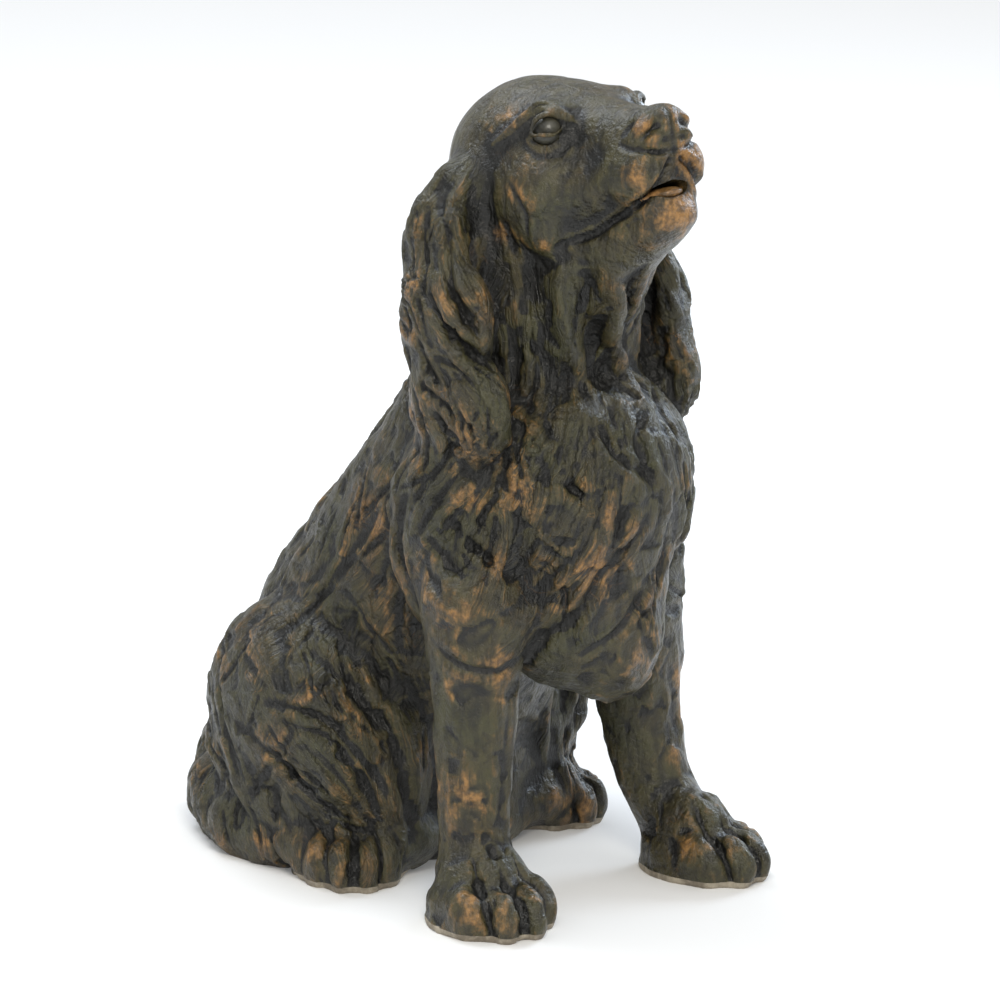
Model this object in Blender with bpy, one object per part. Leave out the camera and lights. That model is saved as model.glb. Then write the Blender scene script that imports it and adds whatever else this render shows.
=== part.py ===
"""Sitting spaniel statuette in fired stoneware, about 37 cm tall.

The figure is modelled the way a potter builds it: one rounded clay form is raised from lumps and
rolls, then sectioned like a piece mould into torso, head, legs, haunches, tail and chest feathering,
each section a solid of its own with a hairline luting gap to its neighbours. Torso and head are
hollow and open where they were luted, so that the clay can be fired.

Units are metres, +Z is up, the dog looks along -Y and its left side is +X. All lengths below are
in millimetres and are turned into metres by MM when a shape is made. The origin is the centre of
the bounding box, on the ground.
"""

import math

import bmesh
import bpy
from mathutils import Euler, Matrix, Vector

MM = 0.001

# Driving dimensions, in millimetres
GAP = 0.3  # luting gap between neighbouring sections
SOLE = 3.0  # thickness of the soles under the paws and the seat
SKIN_VOXEL = 4.0  # grain of the clay form when its lumps are fused
SKIN_FACES = 6000  # triangles left in the fused form
EAR_FACES = 380
HOLLOW_FACES = 520
HEAD_PITCH = 20.0  # how far the muzzle is raised, in degrees

SKULL = Vector((0.0, 27.0, 328.0))  # centre of the skull, which the head's own axes start from
HIP_SPREAD = 58.0  # sideways distance from the middle plane to a haunch
DRAIN_RADIUS = 24.0  # hole in the seat through which the clay dries and the kiln gas leaves

# Colours read off the fired surface: an olive black body stain, ochre where it is rubbed
STAIN = (0.050, 0.045, 0.030)
TONGUE_OCHRE = (0.33, 0.20, 0.07)
SOLE_RUBBER = (0.17, 0.16, 0.13)


# --- scene and mesh helpers -------------------------------------------------------------------


def clear_scene():
    """Removes every object that is already there."""
    for obj in list(bpy.data.objects):
        bpy.data.objects.remove(obj, do_unlink=True)


def glaze(name, colour, roughness):
    """A Principled material with the colour and roughness of one finish."""
    material = bpy.data.materials.new(name)
    material.use_nodes = True
    shader = material.node_tree.nodes["Principled BSDF"]
    shader.inputs["Base Color"].default_value = (*colour, 1.0)
    shader.inputs["Roughness"].default_value = roughness
    shader.inputs["Metallic"].default_value = 0.0
    return material


def object_from(bm, name):
    """Links a bmesh to the scene as a named object, in metres, with its faces turned outwards."""
    bmesh.ops.recalc_face_normals(bm, faces=bm.faces)
    mesh = bpy.data.meshes.new(name)
    bm.to_mesh(mesh)
    bm.free()
    mesh.transform(Matrix.Scale(MM, 4))
    obj = bpy.data.objects.new(name, mesh)
    bpy.context.scene.collection.objects.link(obj)
    return obj


def bake(obj):
    """Turns an object's modifiers into its mesh."""
    bpy.context.view_layer.update()
    graph = bpy.context.evaluated_depsgraph_get()
    done = bpy.data.meshes.new_from_object(obj.evaluated_get(graph))
    obj.modifiers.clear()
    obj.data = done
    return obj


def hide(obj):
    """Marks a cutter, which the build leaves out."""
    obj.hide_render = True
    obj.display_type = "WIRE"
    return obj


def lump(bm, centre, radii, turn=(0.0, 0.0, 0.0), frame=None, rings=3):
    """Adds an egg of clay: centre and radii along its own axes, turned by degrees about X, Y and Z.

    frame carries the egg from a part's own axes, such as the head's, to the figure's.
    """
    spin = Euler([math.radians(a) for a in turn]).to_matrix().to_4x4()
    place = Matrix.Translation(Vector(centre)) @ spin @ Matrix.Diagonal((*radii, 1.0))
    if frame is not None:
        place = frame @ place
    bmesh.ops.create_icosphere(bm, subdivisions=rings, radius=1.0, matrix=place)


def roll(bm, stations, frame=None):
    """Adds a tapering roll of clay through stations, each (centre, radius)."""
    places = [(Vector(centre), radius) for centre, radius in stations]
    if frame is not None:
        places = [(frame @ centre, radius) for centre, radius in places]
    for centre, radius in places:
        lump(bm, centre, (radius, radius, radius))
    for (low, low_radius), (high, high_radius) in zip(places, places[1:]):
        along = high - low
        turn = along.to_track_quat("Z", "Y").to_matrix().to_4x4()
        bmesh.ops.create_cone(
            bm,
            cap_ends=True,
            cap_tris=False,
            segments=24,
            radius1=low_radius,
            radius2=high_radius,
            depth=along.length,
            matrix=Matrix.Translation((low + high) / 2) @ turn,
        )


def barrel(bm, stations, steps=4):
    """Adds a run of eggs that swells and thins through stations, each (centre, radii)."""
    for (low, low_radii), (high, high_radii) in zip(stations, stations[1:]):
        for step in range(steps + 1):
            share = step / steps
            centre = Vector(low).lerp(Vector(high), share)
            radii = Vector(low_radii).lerp(Vector(high_radii), share)
            lump(bm, centre, radii)


def head_frame():
    """The head's own axes: X to its left, Y forward along the muzzle, Z up through the crown."""
    pitch = math.radians(HEAD_PITCH)
    forward = Vector((0.0, -math.cos(pitch), math.sin(pitch)))
    up = Vector((0.0, math.sin(pitch), math.cos(pitch)))
    axes = Matrix((Vector((1.0, 0.0, 0.0)), forward, up)).transposed().to_4x4()
    return Matrix.Translation(SKULL) @ axes


# --- the clay form ----------------------------------------------------------------------------


def add_torso(bm):
    """Barrel of the body, from the seat up to the root of the neck."""
    barrel(
        bm,
        [
            ((0, 122, 12), (62, 62, 24)),
            ((0, 130, 58), (74, 66, 60)),
            ((0, 112, 98), (68, 68, 58)),
            ((0, 76, 150), (60, 58, 56)),
            ((0, 50, 190), (55, 50, 50)),
            ((0, 34, 228), (46, 45, 40)),
        ],
    )
    roll(bm, [((0, 34, 228), 44), ((0, 27, 258), 42), ((0, 30, 300), 40)])


def add_chest(bm):
    """Feathered chest that hangs over the gap between the forelegs."""
    lump(bm, (2, 2, 182), (58, 44, 56))
    lump(bm, (0, 6, 138), (46, 38, 50))
    lump(bm, (14, -4, 120), (26, 28, 34))


def add_haunches(bm):
    """Folded thighs with the knees forward and the skirt of hair along the ground."""
    lump(bm, (-HIP_SPREAD, 120, 58), (34, 57, 59), turn=(0, -6, -8))
    lump(bm, (-50, 84, 48), (24, 30, 46))
    lump(bm, (-48, 106, 16), (40, 52, 24))
    lump(bm, (HIP_SPREAD - 3, 128, 57), (32, 51, 58), turn=(0, 6, 8))
    lump(bm, (42, 97, 46), (21, 26, 44))
    lump(bm, (44, 112, 16), (38, 48, 22))


def add_tail(bm):
    """Tail that comes round from the back to lie along the right haunch."""
    roll(
        bm,
        [
            ((8, 188, 32), 22),
            ((-28, 194, 21), 22),
            ((-58, 172, 17), 20),
            ((-78, 144, 13), 16),
            ((-83, 118, 9), 10),
        ],
    )


def add_forelegs(bm):
    """Upright right foreleg and the left one, set forward at the pastern, with their shoulders."""
    lump(bm, (-46, 26, 165), (27, 36, 52))
    lump(bm, (43, 28, 165), (27, 34, 52))
    right = [((-56, 8, 138), 25), ((-60, 4, 104), 19.5), ((-63, 1, 66), 17), ((-65, 0, 32), 16)]
    left = [((44, 20, 138), 24), ((47, 19, 100), 20), ((49, 17, 62), 19.5), ((51, 8, 32), 18)]
    roll(bm, right)
    roll(bm, left)
    add_paw(bm, (-69, -16, 0), heading=-12, length=31, width=26)
    add_paw(bm, (54, -20, 0), heading=8, length=31, width=22)


def add_paw(bm, place, heading, length, width):
    """Round paw with four toes; heading is degrees turned outwards from straight ahead."""
    turn = Matrix.Rotation(math.radians(heading), 4, "Z")
    frame = Matrix.Translation(Vector(place)) @ turn
    lump(bm, (0, 4, 12), (width, length * 0.86, 17), frame=frame)
    lump(bm, (0, 2, 2), (width * 1.04, length * 0.96, 9), frame=frame)
    toe_places = ((-0.66, -0.32), (-0.24, -0.66), (0.24, -0.66), (0.66, -0.32))
    for across, ahead in toe_places:
        centre = (across * width, ahead * length, 10)
        lump(bm, centre, (width * 0.33, length * 0.42, 15), frame=frame)


def add_hind_paws(bm):
    """Hind paws that look out from under the haunches, turned outwards."""
    add_paw(bm, (-67, 78, 0), heading=-40, length=27, width=22)
    add_paw(bm, (60, 86, 0), heading=18, length=22, width=20)


def add_head(bm):
    """Skull, brow, muzzle and cheeks, in the head's own axes."""
    head = head_frame()
    lump(bm, (0, -2, -4), (40, 44, 39), frame=head)
    lump(bm, (0, 24, 6), (33, 30, 25), frame=head)
    lump(bm, (0, 60, -6), (21, 32, 21), frame=head)
    lump(bm, (0, 84, 1), (16, 10, 10), frame=head)
    for side in (-1, 1):
        lump(bm, (side * 19, 33, 17), (12, 13, 8), frame=head)
        lump(bm, (side * 25, 18, -16), (16, 26, 22), frame=head)
        lump(bm, (side * 12, 71, -18), (13, 21, 13), frame=head)
        lump(bm, (side * 18, 48, -20), (11, 22, 13), frame=head)


def add_jaw(bm):
    """Deep lower jaw that runs down into the loose skin of the throat."""
    head = head_frame()
    lump(bm, (0, 75, -39), (16, 14, 9), frame=head)
    lump(bm, (0, 52, -46), (18, 22, 14), frame=head)
    lump(bm, (0, 30, -50), (24, 28, 20), frame=head)
    lump(bm, (0, 14, -62), (30, 28, 26), frame=head)


def fused(name, adders, voxel, faces):
    """Presses lumps of clay into one closed form with soft creases, at about so many triangles."""
    bm = bmesh.new()
    for add in adders:
        add(bm)
    form = object_from(bm, name)
    remesh = form.modifiers.new("press", "REMESH")
    remesh.mode = "VOXEL"
    remesh.voxel_size = voxel * MM
    smooth = form.modifiers.new("stroke", "SMOOTH")
    smooth.factor = 0.5
    smooth.iterations = 5
    bake(form)
    thin = form.modifiers.new("thin", "DECIMATE")
    thin.ratio = faces / (2.0 * len(form.data.polygons))
    return bake(form)


# --- sections ---------------------------------------------------------------------------------


def egg_cutter(name, centre, radii, turn=(0.0, 0.0, 0.0), frame=None, grow=0.0):
    """An egg that cuts one section out of the form; grow opens the luting gap."""
    bm = bmesh.new()
    lump(bm, centre, [r + grow for r in radii], turn=turn, frame=frame)
    return hide(object_from(bm, name))


def block_cutter(name, low, high, frame=None, grow=0.0):
    """A block from its low corner to its high corner, in the figure's axes or in a frame's."""
    low = Vector(low) - Vector((grow, grow, grow))
    high = Vector(high) + Vector((grow, grow, grow))
    bm = bmesh.new()
    place = Matrix.Translation((low + high) / 2) @ Matrix.Diagonal((*(high - low), 1.0))
    bmesh.ops.create_cube(bm, size=1.0, matrix=place if frame is None else frame @ place)
    return hide(object_from(bm, name))


def boolean(obj, cutter, operation):
    """Cuts or keeps with one Boolean, applied at once."""
    cut = obj.modifiers.new("cut", "BOOLEAN")
    cut.operation = operation
    cut.object = cutter
    cut.solver = "EXACT"
    return bake(obj)


def copy_of(obj, name):
    """A second object with its own mesh."""
    twin = bpy.data.objects.new(name, obj.data.copy())
    bpy.context.scene.collection.objects.link(twin)
    return twin


def keep_largest(obj):
    """Drops the crumbs that a cut leaves beside its section."""
    bm = bmesh.new()
    bm.from_mesh(obj.data)
    bmesh.ops.remove_doubles(bm, verts=bm.verts, dist=1e-7)
    islands = []
    unseen = set(bm.verts)
    while unseen:
        front = [unseen.pop()]
        island = set(front)
        while front:
            vert = front.pop()
            for edge in vert.link_edges:
                other = edge.other_vert(vert)
                if other in unseen:
                    unseen.discard(other)
                    island.add(other)
                    front.append(other)
        islands.append(island)
    islands.sort(key=len, reverse=True)
    crumbs = [vert for island in islands[1:] for vert in island]
    bmesh.ops.delete(bm, geom=crumbs, context="VERTS")
    bm.to_mesh(obj.data)
    bm.free()
    return obj


def section(form, name, cutter, **where):
    """Takes the part of the form inside a cutter as a new section and opens the gap behind it."""
    exact = cutter(name + "_cutter", **where)
    wide = cutter(name + "_gap", grow=GAP, **where)
    piece = boolean(copy_of(form, name), exact, "INTERSECT")
    boolean(form, wide, "DIFFERENCE")
    bpy.data.objects.remove(exact)
    bpy.data.objects.remove(wide)
    return keep_largest(piece)


def remove(form, cutter, **where):
    """Cuts a hollow or an opening out of a section."""
    tool = cutter("hollow", **where)
    boolean(form, tool, "DIFFERENCE")
    bpy.data.objects.remove(tool)


HEAD_CUT = {"centre": (0, -16, 346), "radii": (74, 104, 66)}
FORELEG_CUTS = {
    "foreleg_right": {"centre": (-68, -6, 40), "radii": (36, 52, 88), "turn": (0, 4, 0)},
    "foreleg_left": {"centre": (60, -4, 40), "radii": (36, 60, 88), "turn": (0, -2, 0)},
}
CHEST_CUT = {"centre": (0, -40, 160), "radii": (70, 62, 92)}
TAIL_CUT = {"centre": (-44, 190, 14), "radii": (84, 40, 46), "turn": (0, 0, 34)}
HAUNCH_CUTS = {
    "haunch_right": {"centre": (-94, 114, 46), "radii": (46, 84, 74)},
    "haunch_left": {"centre": (94, 114, 46), "radii": (46, 84, 74)},
}
HIND_PAW_CUTS = {
    "hind_paw_right": {"centre": (-72, 72, 8), "radii": (29, 30, 27)},
    "hind_paw_left": {"centre": (62, 79, 8), "radii": (27, 28, 26)},
}
JAW_CUT = {"low": (-30, 40, -66), "high": (30, 110, -29)}  # in the head's axes


def make_ears(form):
    """Long feathered ears, applied as slabs and cut to lie on the neck and shoulders."""
    def right(bm):
        lump(bm, (-41, 31, 317), (11, 16, 18))
        lump(bm, (-50, 30, 290), (12, 25, 30))
        lump(bm, (-60, 20, 260), (13, 33, 34))
        lump(bm, (-60, 8, 224), (14, 34, 30))

    def left(bm):
        lump(bm, (41, 34, 320), (12, 17, 19))
        lump(bm, (48, 30, 290), (12, 25, 30))
        lump(bm, (54, 22, 256), (13, 28, 34))
        lump(bm, (55, 16, 226), (14, 29, 26))

    body = copy_of(form, "ear_bed")
    push = body.modifiers.new("gap", "DISPLACE")
    push.strength = GAP * MM
    push.mid_level = 0.0
    hide(bake(body))
    for name, shape in (("ear_right", right), ("ear_left", left)):
        ear = fused(name, [shape], SKIN_VOXEL, EAR_FACES)
        keep_largest(boolean(ear, body, "DIFFERENCE"))
    bpy.data.objects.remove(body)


def bed(name, hosts, centre, radii):
    """Presses a pellet of clay into its hosts, in the head's axes, and cuts its bed with the gap."""
    axes = head_frame()
    for host in hosts:
        remove(host, egg_cutter, centre=centre, radii=radii, frame=axes, grow=GAP)
    bm = bmesh.new()
    lump(bm, centre, radii, frame=axes, rings=2)
    return object_from(bm, name)


def set_face(head, jaw):
    """Opens the lips and sets the eyeballs and the tongue."""
    axes = head_frame()
    for host in (head, jaw):
        remove(host, block_cutter, low=(-19, 62, -32.5), high=(19, 110, -25), frame=axes)
    bed("eye_right", [head], (-24.5, 36, 8), (8, 8, 8))
    bed("eye_left", [head], (24.5, 36, 8), (8, 8, 8))
    bed("tongue", [head, jaw], (0, 69, -31), (12, 13, 3.2))


def hollow_cutter(name):
    """The hollow inside the torso and head as one closed form, open at the seat by the drain hole."""
    def hollow(bm):
        barrel(
            bm,
            [
                ((0, 128, 64), (37, 46, 46)),
                ((0, 110, 98), (45, 46, 42)),
                ((0, 82, 146), (43, 38, 40)),
                ((0, 63, 188), (37, 29, 34)),
                ((0, 42, 228), (30, 25, 28)),
            ],
        )
        roll(bm, [((0, 36, 228), 28), ((0, 30, 262), 27), ((0, 28, 322), 27)])
        roll(bm, [((0, 124, 70), DRAIN_RADIUS), ((0, 124, -40), DRAIN_RADIUS)])

    return hide(fused(name, [hollow], 5.0, HOLLOW_FACES))


def ground(piece):
    """Cuts a section level at the floor."""
    remove(piece, block_cutter, low=(-200, -200, -60), high=(200, 300, 0))


def take_sole(piece):
    """Cuts a thin flat sole from the foot of a leg or paw, which then stands on it."""
    low = (-200, -200, -1)
    slab = block_cutter("slab", low, (200, 300, SOLE))
    sole = boolean(copy_of(piece, piece.name + "_sole"), slab, "INTERSECT")
    bpy.data.objects.remove(slab)
    remove(piece, block_cutter, low=low, high=(200, 300, SOLE + GAP))
    keep_largest(piece)
    return keep_largest(sole)


def seat_on_origin(pieces):
    """Moves the figure so that the centre of its bounding box stands on the origin."""
    corners = [vert.co for piece in pieces for vert in piece.data.vertices]
    middle = [(min(c[i] for c in corners) + max(c[i] for c in corners)) / 2 for i in (0, 1)]
    floor = min(c[2] for c in corners)
    for piece in pieces:
        piece.data.transform(Matrix.Translation((-middle[0], -middle[1], -floor)))


def dress(pieces):
    """Gives every piece its own finish."""
    finishes = {"tongue": (TONGUE_OCHRE, 0.5), "sole": (SOLE_RUBBER, 0.8), "eye": (STAIN, 0.25)}
    for piece in pieces:
        keys = [key for key in finishes if key in piece.name]
        colour, roughness = finishes[keys[0]] if keys else (STAIN, 0.45)
        piece.data.materials.append(glaze(piece.name + "_finish", colour, roughness))


def main():
    """Raises the clay form, sections it, hollows it and seats the figure on its origin."""
    clear_scene()
    clay = [add_torso, add_chest, add_haunches, add_tail, add_forelegs, add_hind_paws]
    form = fused("torso", clay + [add_head, add_jaw], SKIN_VOXEL, SKIN_FACES)
    make_ears(form)
    ground(form)
    head = section(form, "head", egg_cutter, **HEAD_CUT)
    jaw = section(head, "lower_jaw", block_cutter, frame=head_frame(), **JAW_CUT)
    for name, cut in FORELEG_CUTS.items():
        take_sole(section(form, name, egg_cutter, **cut))
    for name, cut in HIND_PAW_CUTS.items():
        take_sole(section(form, name, egg_cutter, **cut))
    section(form, "tail", egg_cutter, **TAIL_CUT)
    for name, cut in HAUNCH_CUTS.items():
        section(form, name, egg_cutter, **cut)
    section(form, "chest_ruff", egg_cutter, **CHEST_CUT)
    hollow = hollow_cutter("hollow")
    for shell in (form, head):
        keep_largest(boolean(shell, hollow, "DIFFERENCE"))
    bpy.data.objects.remove(hollow)
    set_face(head, jaw)
    pieces = [obj for obj in bpy.context.scene.objects if not obj.hide_render]
    seat_on_origin(pieces)
    dress(pieces)


main()
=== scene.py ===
"""A sitting spaniel in patinated stoneware, modelled and stained the way a potter would.

The figure is pressed up from lumps and rolls of clay, combed with locks of hair that follow the
body, stroked with modelling tools, fired, and then sectioned like a piece mould, so that every
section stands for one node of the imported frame. Sizes are in millimetres in the dog's own axes: +X is
the dog's left, -Y the way it faces, +Z up, and the ground is at zero. They become metres in the frame's
axes when the clay is fired.
"""

from __future__ import annotations

import logging
import math
import sys
from collections.abc import Callable, Iterable, Sequence
from dataclasses import dataclass, field
from enum import Enum

import bmesh
import bpy
import numpy as np
from mathutils import Euler, Matrix, Vector, noise
from mathutils.bvhtree import BVHTree
from mathutils.kdtree import KDTree

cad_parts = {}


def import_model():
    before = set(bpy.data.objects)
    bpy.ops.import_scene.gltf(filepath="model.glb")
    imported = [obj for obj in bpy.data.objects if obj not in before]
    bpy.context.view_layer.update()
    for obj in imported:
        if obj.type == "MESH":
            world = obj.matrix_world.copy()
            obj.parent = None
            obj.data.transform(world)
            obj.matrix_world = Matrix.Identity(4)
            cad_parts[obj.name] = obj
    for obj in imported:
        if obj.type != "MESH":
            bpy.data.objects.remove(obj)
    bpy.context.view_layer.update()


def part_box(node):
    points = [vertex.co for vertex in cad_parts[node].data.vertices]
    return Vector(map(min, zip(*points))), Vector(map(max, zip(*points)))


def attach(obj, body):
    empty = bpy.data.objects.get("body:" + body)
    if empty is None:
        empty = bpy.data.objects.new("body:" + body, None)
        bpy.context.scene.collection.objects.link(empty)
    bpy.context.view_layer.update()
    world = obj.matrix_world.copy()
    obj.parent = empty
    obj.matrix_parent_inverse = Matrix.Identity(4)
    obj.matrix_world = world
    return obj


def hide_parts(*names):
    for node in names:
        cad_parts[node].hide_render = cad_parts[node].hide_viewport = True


log = logging.getLogger("spaniel")

MM = 0.001
BODY = "root"
SEED = 7

Triple = tuple[float, float, float]
Station = tuple[Triple, float]
Heading = Callable[[Vector, float], Vector]


class Side(Enum):
    """The dog's own right and left."""

    RIGHT = -1
    LEFT = 1

    @property
    def word(self) -> str:
        """The side as it stands in node names."""
        return self.name.lower()

    def at(self, x: float) -> float:
        """Returns x on this side of the middle plane."""
        return self.value * x


# --- the bench: lumps, rolls and locks of clay ------------------------------------------------


@dataclass(frozen=True)
class Egg:
    """An egg-shaped lump of clay.

    Attributes:
        centre: Middle of the egg.
        radii: Its half-sizes along its own axes.
        turn: Turn about X, Y and Z, in degrees.
    """

    centre: Triple
    radii: Triple
    turn: Triple = (0.0, 0.0, 0.0)

    def place(self, frame: Matrix | None = None, grow: float = 0.0) -> Matrix:
        """Gives the matrix that carries a unit ball onto the egg.

        Args:
            frame: Axes the egg is given in, or None for the dog's own.
            grow: Added to every half-size.

        Returns:
            The placing matrix.
        """
        spin = Euler([math.radians(a) for a in self.turn]).to_matrix().to_4x4()
        radii = [r + grow for r in self.radii]
        place = Matrix.Translation(Vector(self.centre)) @ spin @ Matrix.Diagonal((*radii, 1.0))
        return place if frame is None else frame @ place

    def holds(self, points: np.ndarray, frame: Matrix | None = None, grow: float = 0.0) -> np.ndarray:
        """Says which points lie inside the egg.

        Args:
            points: Array of points, one per row.
            frame: Axes the egg is given in, or None for the dog's own.
            grow: Added to every half-size.

        Returns:
            A mask over the points.
        """
        inverse = np.array(self.place(frame, grow).inverted())
        local = points @ inverse[:3, :3].T + inverse[:3, 3]
        return (local**2).sum(axis=1) < 1.0


@dataclass(frozen=True)
class Block:
    """A rectangular block given by its low and high corners."""

    low: Triple
    high: Triple

    def holds(self, points: np.ndarray, frame: Matrix | None = None, grow: float = 0.0) -> np.ndarray:
        """Says which points lie inside the block.

        Args:
            points: Array of points, one per row.
            frame: Axes the block is given in, or None for the dog's own.
            grow: Added on every side.

        Returns:
            A mask over the points.
        """
        inverse = np.array((frame or Matrix.Identity(4)).inverted())
        local = points @ inverse[:3, :3].T + inverse[:3, 3]
        low, high = np.array(self.low) - grow, np.array(self.high) + grow
        return ((local > low) & (local < high)).all(axis=1)


def head_axes(centre: Triple = (0.0, 27.0, 328.0), pitch: float = 20.0) -> Matrix:
    """Builds the head's own axes: X to its left, Y along the muzzle, Z up through the crown.

    Args:
        centre: Middle of the skull.
        pitch: How far the muzzle is raised, in degrees.

    Returns:
        The matrix from the head's axes to the dog's.
    """
    rise = math.radians(pitch)
    forward = Vector((0.0, -math.cos(rise), math.sin(rise)))
    up = Vector((0.0, math.sin(rise), math.cos(rise)))
    axes = Matrix((Vector((1.0, 0.0, 0.0)), forward, up)).transposed().to_4x4()
    return Matrix.Translation(Vector(centre)) @ axes


class Bench:
    """Clay being built up: lumps, rolls and locks, each made by itself and laid with the rest."""

    def __init__(self) -> None:
        """Starts with no clay."""
        self.bm = bmesh.new()

    def lay_on(self, lump: bmesh.types.BMesh) -> None:
        """Adds one finished lump to the clay and clears it away."""
        mesh = bpy.data.meshes.new("lump")
        lump.to_mesh(mesh)
        lump.free()
        self.bm.from_mesh(mesh)
        bpy.data.meshes.remove(mesh)

    def egg(self, egg: Egg, frame: Matrix | None = None, rings: int = 3) -> None:
        """Presses on one egg.

        Args:
            egg: The lump.
            frame: Axes it is given in, or None for the dog's own.
            rings: How finely the ball is divided.
        """
        lump = bmesh.new()
        bmesh.ops.create_icosphere(lump, subdivisions=rings, radius=1.0, matrix=egg.place(frame))
        if egg.place(frame).determinant() < 0:
            bmesh.ops.reverse_faces(lump, faces=lump.faces)
        self.lay_on(lump)

    def eggs(self, eggs: Iterable[Egg], frame: Matrix | None = None) -> None:
        """Presses on several eggs."""
        for egg in eggs:
            self.egg(egg, frame)

    def roll(self, stations: Sequence[Station], frame: Matrix | None = None) -> None:
        """Lays a tapering roll of clay.

        Args:
            stations: Centre and radius of the roll at each of its stations.
            frame: Axes they are given in, or None for the dog's own.
        """
        places = [(Vector(c), r) for c, r in stations]
        if frame is not None:
            places = [(frame @ c, r) for c, r in places]
        for centre, radius in places:
            self.egg(Egg(tuple(centre), (radius, radius, radius)))
        for (low, low_radius), (high, high_radius) in zip(places, places[1:]):
            along = high - low
            turn = along.to_track_quat("Z", "Y").to_matrix().to_4x4()
            lump = bmesh.new()
            bmesh.ops.create_cone(
                lump,
                cap_ends=True,
                cap_tris=False,
                segments=24,
                radius1=low_radius,
                radius2=high_radius,
                depth=along.length,
                matrix=Matrix.Translation((low + high) / 2) @ turn,
            )
            self.lay_on(lump)

    def barrel(self, stations: Sequence[tuple[Triple, Triple]], steps: int = 5) -> None:
        """Adds a run of eggs that swells and thins through stations.

        Args:
            stations: Centre and half-sizes at each station.
            steps: Eggs between two stations.
        """
        for (low, low_radii), (high, high_radii) in zip(stations, stations[1:]):
            for step in range(steps + 1):
                share = step / steps
                centre = Vector(low).lerp(Vector(high), share)
                radii = Vector(low_radii).lerp(Vector(high_radii), share)
                self.egg(Egg(tuple(centre), tuple(radii)))

    def press(self, name: str, voxel: float, strokes: int) -> bpy.types.Object:
        """Fuses the clay into one closed form.

        Args:
            name: Name of the object that is made.
            voxel: Grain of the fused form.
            strokes: Smoothing passes over it.

        Returns:
            The fused object, in millimetres.
        """
        mesh = bpy.data.meshes.new(name)
        self.bm.to_mesh(mesh)
        self.bm.free()
        form = bpy.data.objects.new(name, mesh)
        bpy.context.scene.collection.objects.link(form)
        remesh = form.modifiers.new("press", "REMESH")
        remesh.mode = "VOXEL"
        remesh.voxel_size = voxel
        if strokes:
            smooth = form.modifiers.new("stroke", "SMOOTH")
            smooth.factor = 0.5
            smooth.iterations = strokes
        graph = bpy.context.evaluated_depsgraph_get()
        fused = bpy.data.meshes.new_from_object(form.evaluated_get(graph))
        form.modifiers.clear()
        form.data = fused
        bpy.data.meshes.remove(mesh)
        return form


# --- combing: locks of hair that follow the body ----------------------------------------------


@dataclass(frozen=True)
class Lock:
    """Size and habit of a lock of hair.

    Attributes:
        length: From root to tip along the body.
        width: Half-width at the fullest place.
        height: How far the crest stands above the body.
        curl: How far the lock turns on its way, in degrees.
        lift: How far the tip stands off the body.
        root: Where the fullest place is: 1 puts it in the middle, less moves it to the root.
    """

    length: float
    width: float
    height: float
    curl: float = 0.0
    lift: float = 0.0
    root: float = 0.75


@dataclass(frozen=True)
class Stroke:
    """One pull of a modelling tool.

    Attributes:
        path: Places it passes through.
        width: Half-width of the tool.
        depth: Depth of the groove; less than zero pinches up a ridge.
        lip: Height of the clay thrown up at the sides.
    """

    path: tuple[Triple, ...]
    width: float
    depth: float
    lip: float = 0.6

    def draw(self, skin: Skin, side: float = 1.0) -> None:
        """Draws the stroke, or its mirror image with a side of -1."""
        places = [Vector((side * x, y, z)) for x, y, z in self.path]
        skin.crease(places, self.width, self.depth, self.lip)


@dataclass(frozen=True)
class Rub:
    """A place where the stain is wiped back to the clay.

    Attributes:
        centre: Its middle.
        radius: How far it reaches.
        strength: How bare it is; less than zero keeps the stain on.
    """

    centre: Triple
    radius: float
    strength: float = 1.0


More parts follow.
